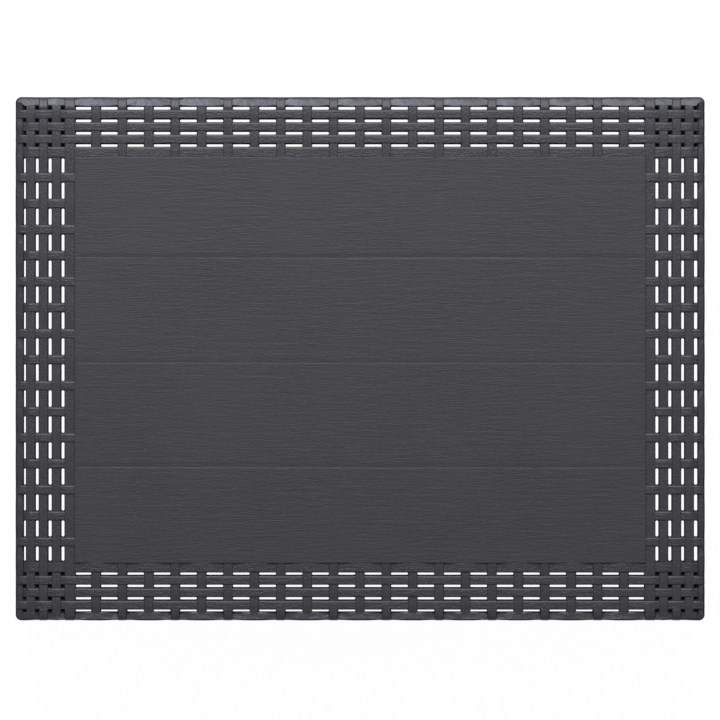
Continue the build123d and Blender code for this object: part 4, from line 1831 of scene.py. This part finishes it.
@dataclass
class Fasteners:
    """Round screw heads with a cross recess, and the domed heads of the hinge pins.

    Attributes:
        head_radius: Radius of a screw head.
        pan_height: Height of a lock screw's head.
        shank_radius: Radius of a shank.
        recess: Half width and reach of the cross recess.
        recess_depth: Depth of the recess.
        hinge_levels: The hinge screws' head face and tip.
        lock_seats: Where a leg's two lock screws seat, from the middle: the long wall's and the end wall's.
        lock_length: Length of a lock screw's shank.
        pin_axis: Place of the hinge axis along Y and its level.
        pin_faces: Where the pins' heads sit, from the middle along X.
        pin_head_radius: Radius of a pin's head.
        pin_head_height: Height of a pin's head.
        pin_seat: Depth of a pin's head in the leg.
        pin_taper: Radius of a pin's head at that depth, as a share of its own.
        pin_points: Points across a pin's dome.
        tip_radius: Radius of a screw's tip.
        tip_lengths: Length of the tip of a lock screw and of a hinge screw.
        sink: Depth of a hinge screw's countersunk head.
        face_rise: How far the face of that head stands out.
        dome: Radius of a lock screw's dome, its fall and the level of its lower edge, as shares of the head.
        rings: Rings of points on a screw head's face.
        turns: Points round a ring.
    """

    head_radius: float = 4.0
    pan_height: float = 2.4
    shank_radius: float = 2.0
    recess: tuple[float, float] = (0.55, 2.3)
    recess_depth: float = 1.3
    hinge_levels: tuple[float, float] = (415.0, 431.0)
    lock_seats: tuple[tuple[float, float, float], ...] = ((313.0, 211.0, 373.7), (306.0, 218.0, 353.7))
    lock_length: float = 17.0
    pin_axis: tuple[float, float] = (286.0, 404.2)
    pin_faces: tuple[float, float] = (332.5, 390.5)
    pin_head_radius: float = 5.6
    pin_head_height: float = 1.7
    pin_seat: float = 0.6
    pin_taper: float = 0.9
    pin_points: int = 8
    tip_radius: float = 0.4
    tip_lengths: tuple[float, float] = (1.5, 2.0)
    sink: float = 2.0
    face_rise: float = 0.01
    dome: tuple[float, float, float] = (0.86, 0.22, 0.45)
    rings: int = 9
    turns: int = 49

    def turned(
        self,
        mould: Mould,
        base: np.ndarray,
        axis: np.ndarray,
        profile: list[tuple[float, float]],
        recess: bool,
    ) -> None:
        """Adds a turned shape, with a cross recess pressed into its first end where asked.

        Args:
            mould: What the shape is added to.
            base: The point that heights are counted from.
            axis: Direction of the heights.
            profile: Radii and heights, from the middle of the first end round to the other end.
            recess: Whether a cross recess is pressed in.
        """
        helper = np.array([0.0, 0.0, 1.0]) if abs(axis[2]) < 0.5 else np.array([1.0, 0.0, 0.0])
        first = np.cross(axis, helper)
        second = np.cross(axis, first)
        turns = np.linspace(0.0, 2 * math.pi, self.turns)
        rings = []
        for radius, height in profile:
            ring = []
            for turn in turns:
                u, v = radius * math.cos(turn), radius * math.sin(turn)
                inside = min(abs(u), abs(v)) < self.recess[0] and max(abs(u), abs(v)) < self.recess[1]
                sunk = self.recess_depth if recess and inside and height > 0 else 0.0
                ring.append(base + first * u + second * v + axis * (height - sunk))
            rings.append(ring)
        ids = mould.grid(np.array(rings))
        mould.cap(ids[-1, :-1])

    def pan_head(self) -> list[tuple[float, float]]:
        """Profile of a lock screw's domed head and its shank.

        Returns:
            Radii and heights.
        """
        wide, fall, low = self.dome
        r, high, length = self.head_radius, self.pan_height, self.lock_length
        dome = [(wide * r * t, high * (1 - fall * t * t)) for t in np.linspace(0.0, 1.0, self.rings)]
        rim = [(r, high * low), (r, 0.0), (self.shank_radius, 0.0)]
        return [*dome, *rim, (self.shank_radius, self.tip_lengths[0] - length), (self.tip_radius, -length)]

    def flat_head(self) -> list[tuple[float, float]]:
        """Profile of a hinge screw's countersunk head and its shank.

        Returns:
            Radii and heights.
        """
        length, shank = self.hinge_levels[1] - self.hinge_levels[0], self.shank_radius
        face = [(self.head_radius * t, self.face_rise) for t in np.linspace(0.0, 1.0, self.rings)]
        return [*face, (shank, -self.sink), (shank, self.tip_lengths[1] - length), (self.tip_radius, -length)]

    def build(self, material: bpy.types.Material) -> list[bpy.types.Object]:
        """Builds the fasteners.

        Args:
            material: Their material.

        Returns:
            The pieces.
        """
        hinge = Mould()
        for side in Side:
            for x, y in HINGE_SPOTS:
                spot = np.array([side.value * x, y, self.hinge_levels[0]])
                self.turned(hinge, spot, np.array([0.0, 0.0, -1.0]), self.flat_head(), True)
        hinge_screws = hinge.piece("hinge_screw_set", "lid", "steel", material)
        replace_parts(hinge_screws, "hinge_screws")

        locks = Mould()
        for side in Side:
            for end in End:
                for seat, axis in zip(self.lock_seats, ((0.0, -end.value, 0.0), (-side.value, 0.0, 0.0))):
                    spot = np.array(seat) * (side.value, end.value, 1)
                    self.turned(locks, spot, np.array(axis, float), self.pan_head(), True)
        lock_screws = locks.piece("wall_lock_screw_set", "box", "steel", material)
        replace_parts(lock_screws, "wall_lock_screws")

        pins = Mould()
        radius, height = self.pin_head_radius, self.pin_head_height
        turns = np.linspace(0.0, math.pi / 2, self.pin_points)
        dome = [(radius * math.sin(turn), height * math.cos(turn)) for turn in turns]
        profile = [*dome, (radius * self.pin_taper, -self.pin_seat)]
        for side in Side:
            for face, way in zip(self.pin_faces, (-1, 1)):
                spot = np.array([side.value * face, *self.pin_axis])
                axis = np.array([float(way * side.value), 0.0, 0.0])
                self.turned(pins, spot, axis, profile, False)
        return [hinge_screws, lock_screws, pins.piece("hinge_pin_heads", "box", "steel", material)]


class Finishes:
    """The object's finishes, each made once."""

    def __init__(self) -> None:
        """Makes the materials."""
        strand, thing, soft = Coordinates.STRAND, Coordinates.OBJECT, 0.0006
        self.plank = MouldedPlastic(
            "plank_plastic", (200.0, 880.0, 200.0), thing, relief=0.0007, contrast=0.26, waver=3.2
        ).material()
        self.strand = MouldedPlastic(
            "strand_plastic",
            (340.0, 520.0, 1.0),
            strand,
            relief=0.0014,
            contrast=0.72,
            roughness=(0.33, 0.45),
            gloss=0.54,
            sheen=(0.92, 0.95, 1.0),
            flank_painted_shade=0.55,
            polish=0.9,
        ).material()
        self.rim = MouldedPlastic(
            "rim_plastic",
            (90.0, 800.0, 1.0),
            strand,
            relief=0.0002,
            contrast=0.10,
            roughness=(0.26, 0.38),
            gloss=0.62,
            sheen=(0.86, 0.92, 1.0),
            dents=0.0022,
            flank_painted_shade=0.65,
        ).material()
        self.plain = MouldedPlastic(
            "moulded_plastic", (140.0, 140.0, 140.0), thing, relief=0.00005, contrast=0.05, edge=soft
        ).material()
        board = partial(MouldedPlastic, coordinates=thing, relief=0.00016, contrast=0.08, edge=soft)
        self.long_board = board("long_board_plastic", (7.0, 300.0, 480.0), waver=2.2).material()
        self.end_board = board("end_board_plastic", (300.0, 7.0, 480.0)).material()
        self.rubber = PadRubber().material()
        self.steel = ZincSteel().material()

    def dress(self) -> None:
        """Gives each CAD node that stays in view its finish."""
        for name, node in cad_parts.items():
            if name.endswith("_foot"):
                finish = self.rubber
            elif "pin" in name or "screw" in name:
                finish = self.steel
            elif name in ("front_wall", "rear_wall"):
                finish = self.long_board
            elif name in ("left_wall", "right_wall"):
                finish = self.end_board
            else:
                finish = self.plain
            node.data.materials.clear()
            node.data.materials.append(finish)


@dataclass
class Studio:
    """White floor, soft light from behind the box and a camera straight above.

    Attributes:
        camera_height: The camera's height.
        view_width: Width of the view at the lid's top, in metres.
        aim: The camera's place in plan.
        lid_top: Level of the lid's top.
        floor_reach: Half of the floor's size.
        world_level: Strength of the light from all round.
        lamps: Name, place, width, height and power of each lamp behind the box.
        floor_glow: How bright the floor looks by itself.
        floor_shade: Tone of the floor in the view, which keeps the shadow.
        floor_tone: Tone of the floor in the light that it sends back.
        sensor: Width of the camera's sensor, in millimetres.
        clip_end: How far the camera sees.
    """

    camera_height: float = 28.0
    view_width: float = 0.8249
    aim: tuple[float, float] = (-0.0002, -0.00143)
    lid_top: float = 0.45
    floor_reach: float = 100.0
    world_level: float = 0.32
    lamps: tuple[tuple[str, tuple[float, float, float], float, float, float], ...] = (
        ("key", (0.2, 1.55, 2.1), 2.2, 1.2, 34.0),
        ("kick", (-0.8, 1.5, 2.05), 0.7, 1.0, 12.5),
    )
    floor_glow: float = 0.97
    floor_shade: float = 0.07
    floor_tone: float = 0.8
    sensor: float = 36.0
    clip_end: float = 200.0

    def floor(self) -> None:
        """Makes a floor that looks white and keeps the box's shadow."""
        r = self.floor_reach
        mesh = bpy.data.meshes.new("floor")
        mesh.from_pydata([(-r, -r, 0.0), (r, -r, 0.0), (r, r, 0.0), (-r, r, 0.0)], [], [(0, 1, 2, 3)])
        floor = bpy.data.objects.new("floor", mesh)
        bpy.context.scene.collection.objects.link(floor)
        graph = NodeGraph("white_floor")
        path = graph.add("ShaderNodeLightPath").outputs
        seen = path["Is Camera Ray"]
        for ray in ("Is Glossy Ray", "Is Transmission Ray"):
            seen = graph.add("ShaderNodeMath", {0: seen, 1: path[ray]}, operation="MAXIMUM").outputs[0]
        full = (1.0, 1.0, 1.0)
        glow = graph.add("ShaderNodeEmission", {"Color": toned(full, 1.0), "Strength": self.floor_glow})
        shade = graph.add("ShaderNodeBsdfDiffuse", {"Color": toned(full, self.floor_shade)})
        white = graph.add("ShaderNodeAddShader", {0: glow.outputs[0], 1: shade.outputs[0]})
        pale = graph.add("ShaderNodeBsdfDiffuse", {"Color": toned(full, self.floor_tone)})
        both = graph.add("ShaderNodeMixShader", {0: seen, 1: pale.outputs[0], 2: white.outputs[0]})
        mesh.materials.append(graph.finish(both))

    def lights(self) -> None:
        """Makes the light from all round and the soft lamps behind the box."""
        world = bpy.data.worlds.new("studio")
        world.use_nodes = True
        tone = world.node_tree.nodes["Background"].inputs
        tone["Color"].default_value = (1.0, 1.0, 1.0, 1.0)
        tone["Strength"].default_value = self.world_level
        bpy.context.scene.world = world
        for name, place, width, height, power in self.lamps:
            lamp = bpy.data.lights.new(name, "AREA")
            lamp.shape, lamp.size, lamp.size_y, lamp.energy = "RECTANGLE", width, height, power
            key = bpy.data.objects.new(name, lamp)
            key.location = place
            aim = Vector((0.0, 0.0, self.lid_top)) - key.location
            key.rotation_euler = aim.to_track_quat("-Z", "Y").to_euler()
            bpy.context.scene.collection.objects.link(key)

    def camera(self) -> None:
        """Makes the camera, straight above the lid's middle with the hinge side up."""
        data = bpy.data.cameras.new("camera")
        data.sensor_width = self.sensor
        data.lens = data.sensor_width * (self.camera_height - self.lid_top) / self.view_width
        data.clip_end = self.clip_end
        camera = bpy.data.objects.new("camera", data)
        camera.location = (*self.aim, self.camera_height)
        bpy.context.scene.collection.objects.link(camera)
        bpy.context.scene.camera = camera

    def build(self) -> None:
        """Builds the stage."""
        self.floor()
        self.lights()
        self.camera()
        bpy.context.scene.view_settings.view_transform = "Standard"


def main() -> None:
    """Builds every sub-assembly, dresses the CAD nodes and sets the stage."""
    logging.basicConfig(level=logging.INFO, format="%(message)s")
    finishes = Finishes()
    finishes.dress()
    layout, shape = WeaveLayout(), StrandShape()
    row_shape = StrandShape(high_edge=(1.6, 0.7), shares=(0.6, *[0.0] * 6), edge_polish=1.0)

    panel = PlankPanel(layout).build(finishes.plank)
    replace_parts(panel, "lid")
    for made in LidWeave(layout, (row_shape, shape)).build(finishes.strand):
        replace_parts(made, "lid")
    for made in LidRim(layout, shape).build(finishes.rim):
        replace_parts(made, "lid")
    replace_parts(LatticePlate(layout).build(finishes.plain), "lid")
    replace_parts(UndersideRibs(layout).build(finishes.plain), "lid")

    legs = LegWeave(layout, shape)
    for side in Side:
        for end in End:
            legs.build(side, end, finishes.strand)
    Fasteners().build(finishes.steel)
    Studio().build()


if __name__ == "__main__":
    main()
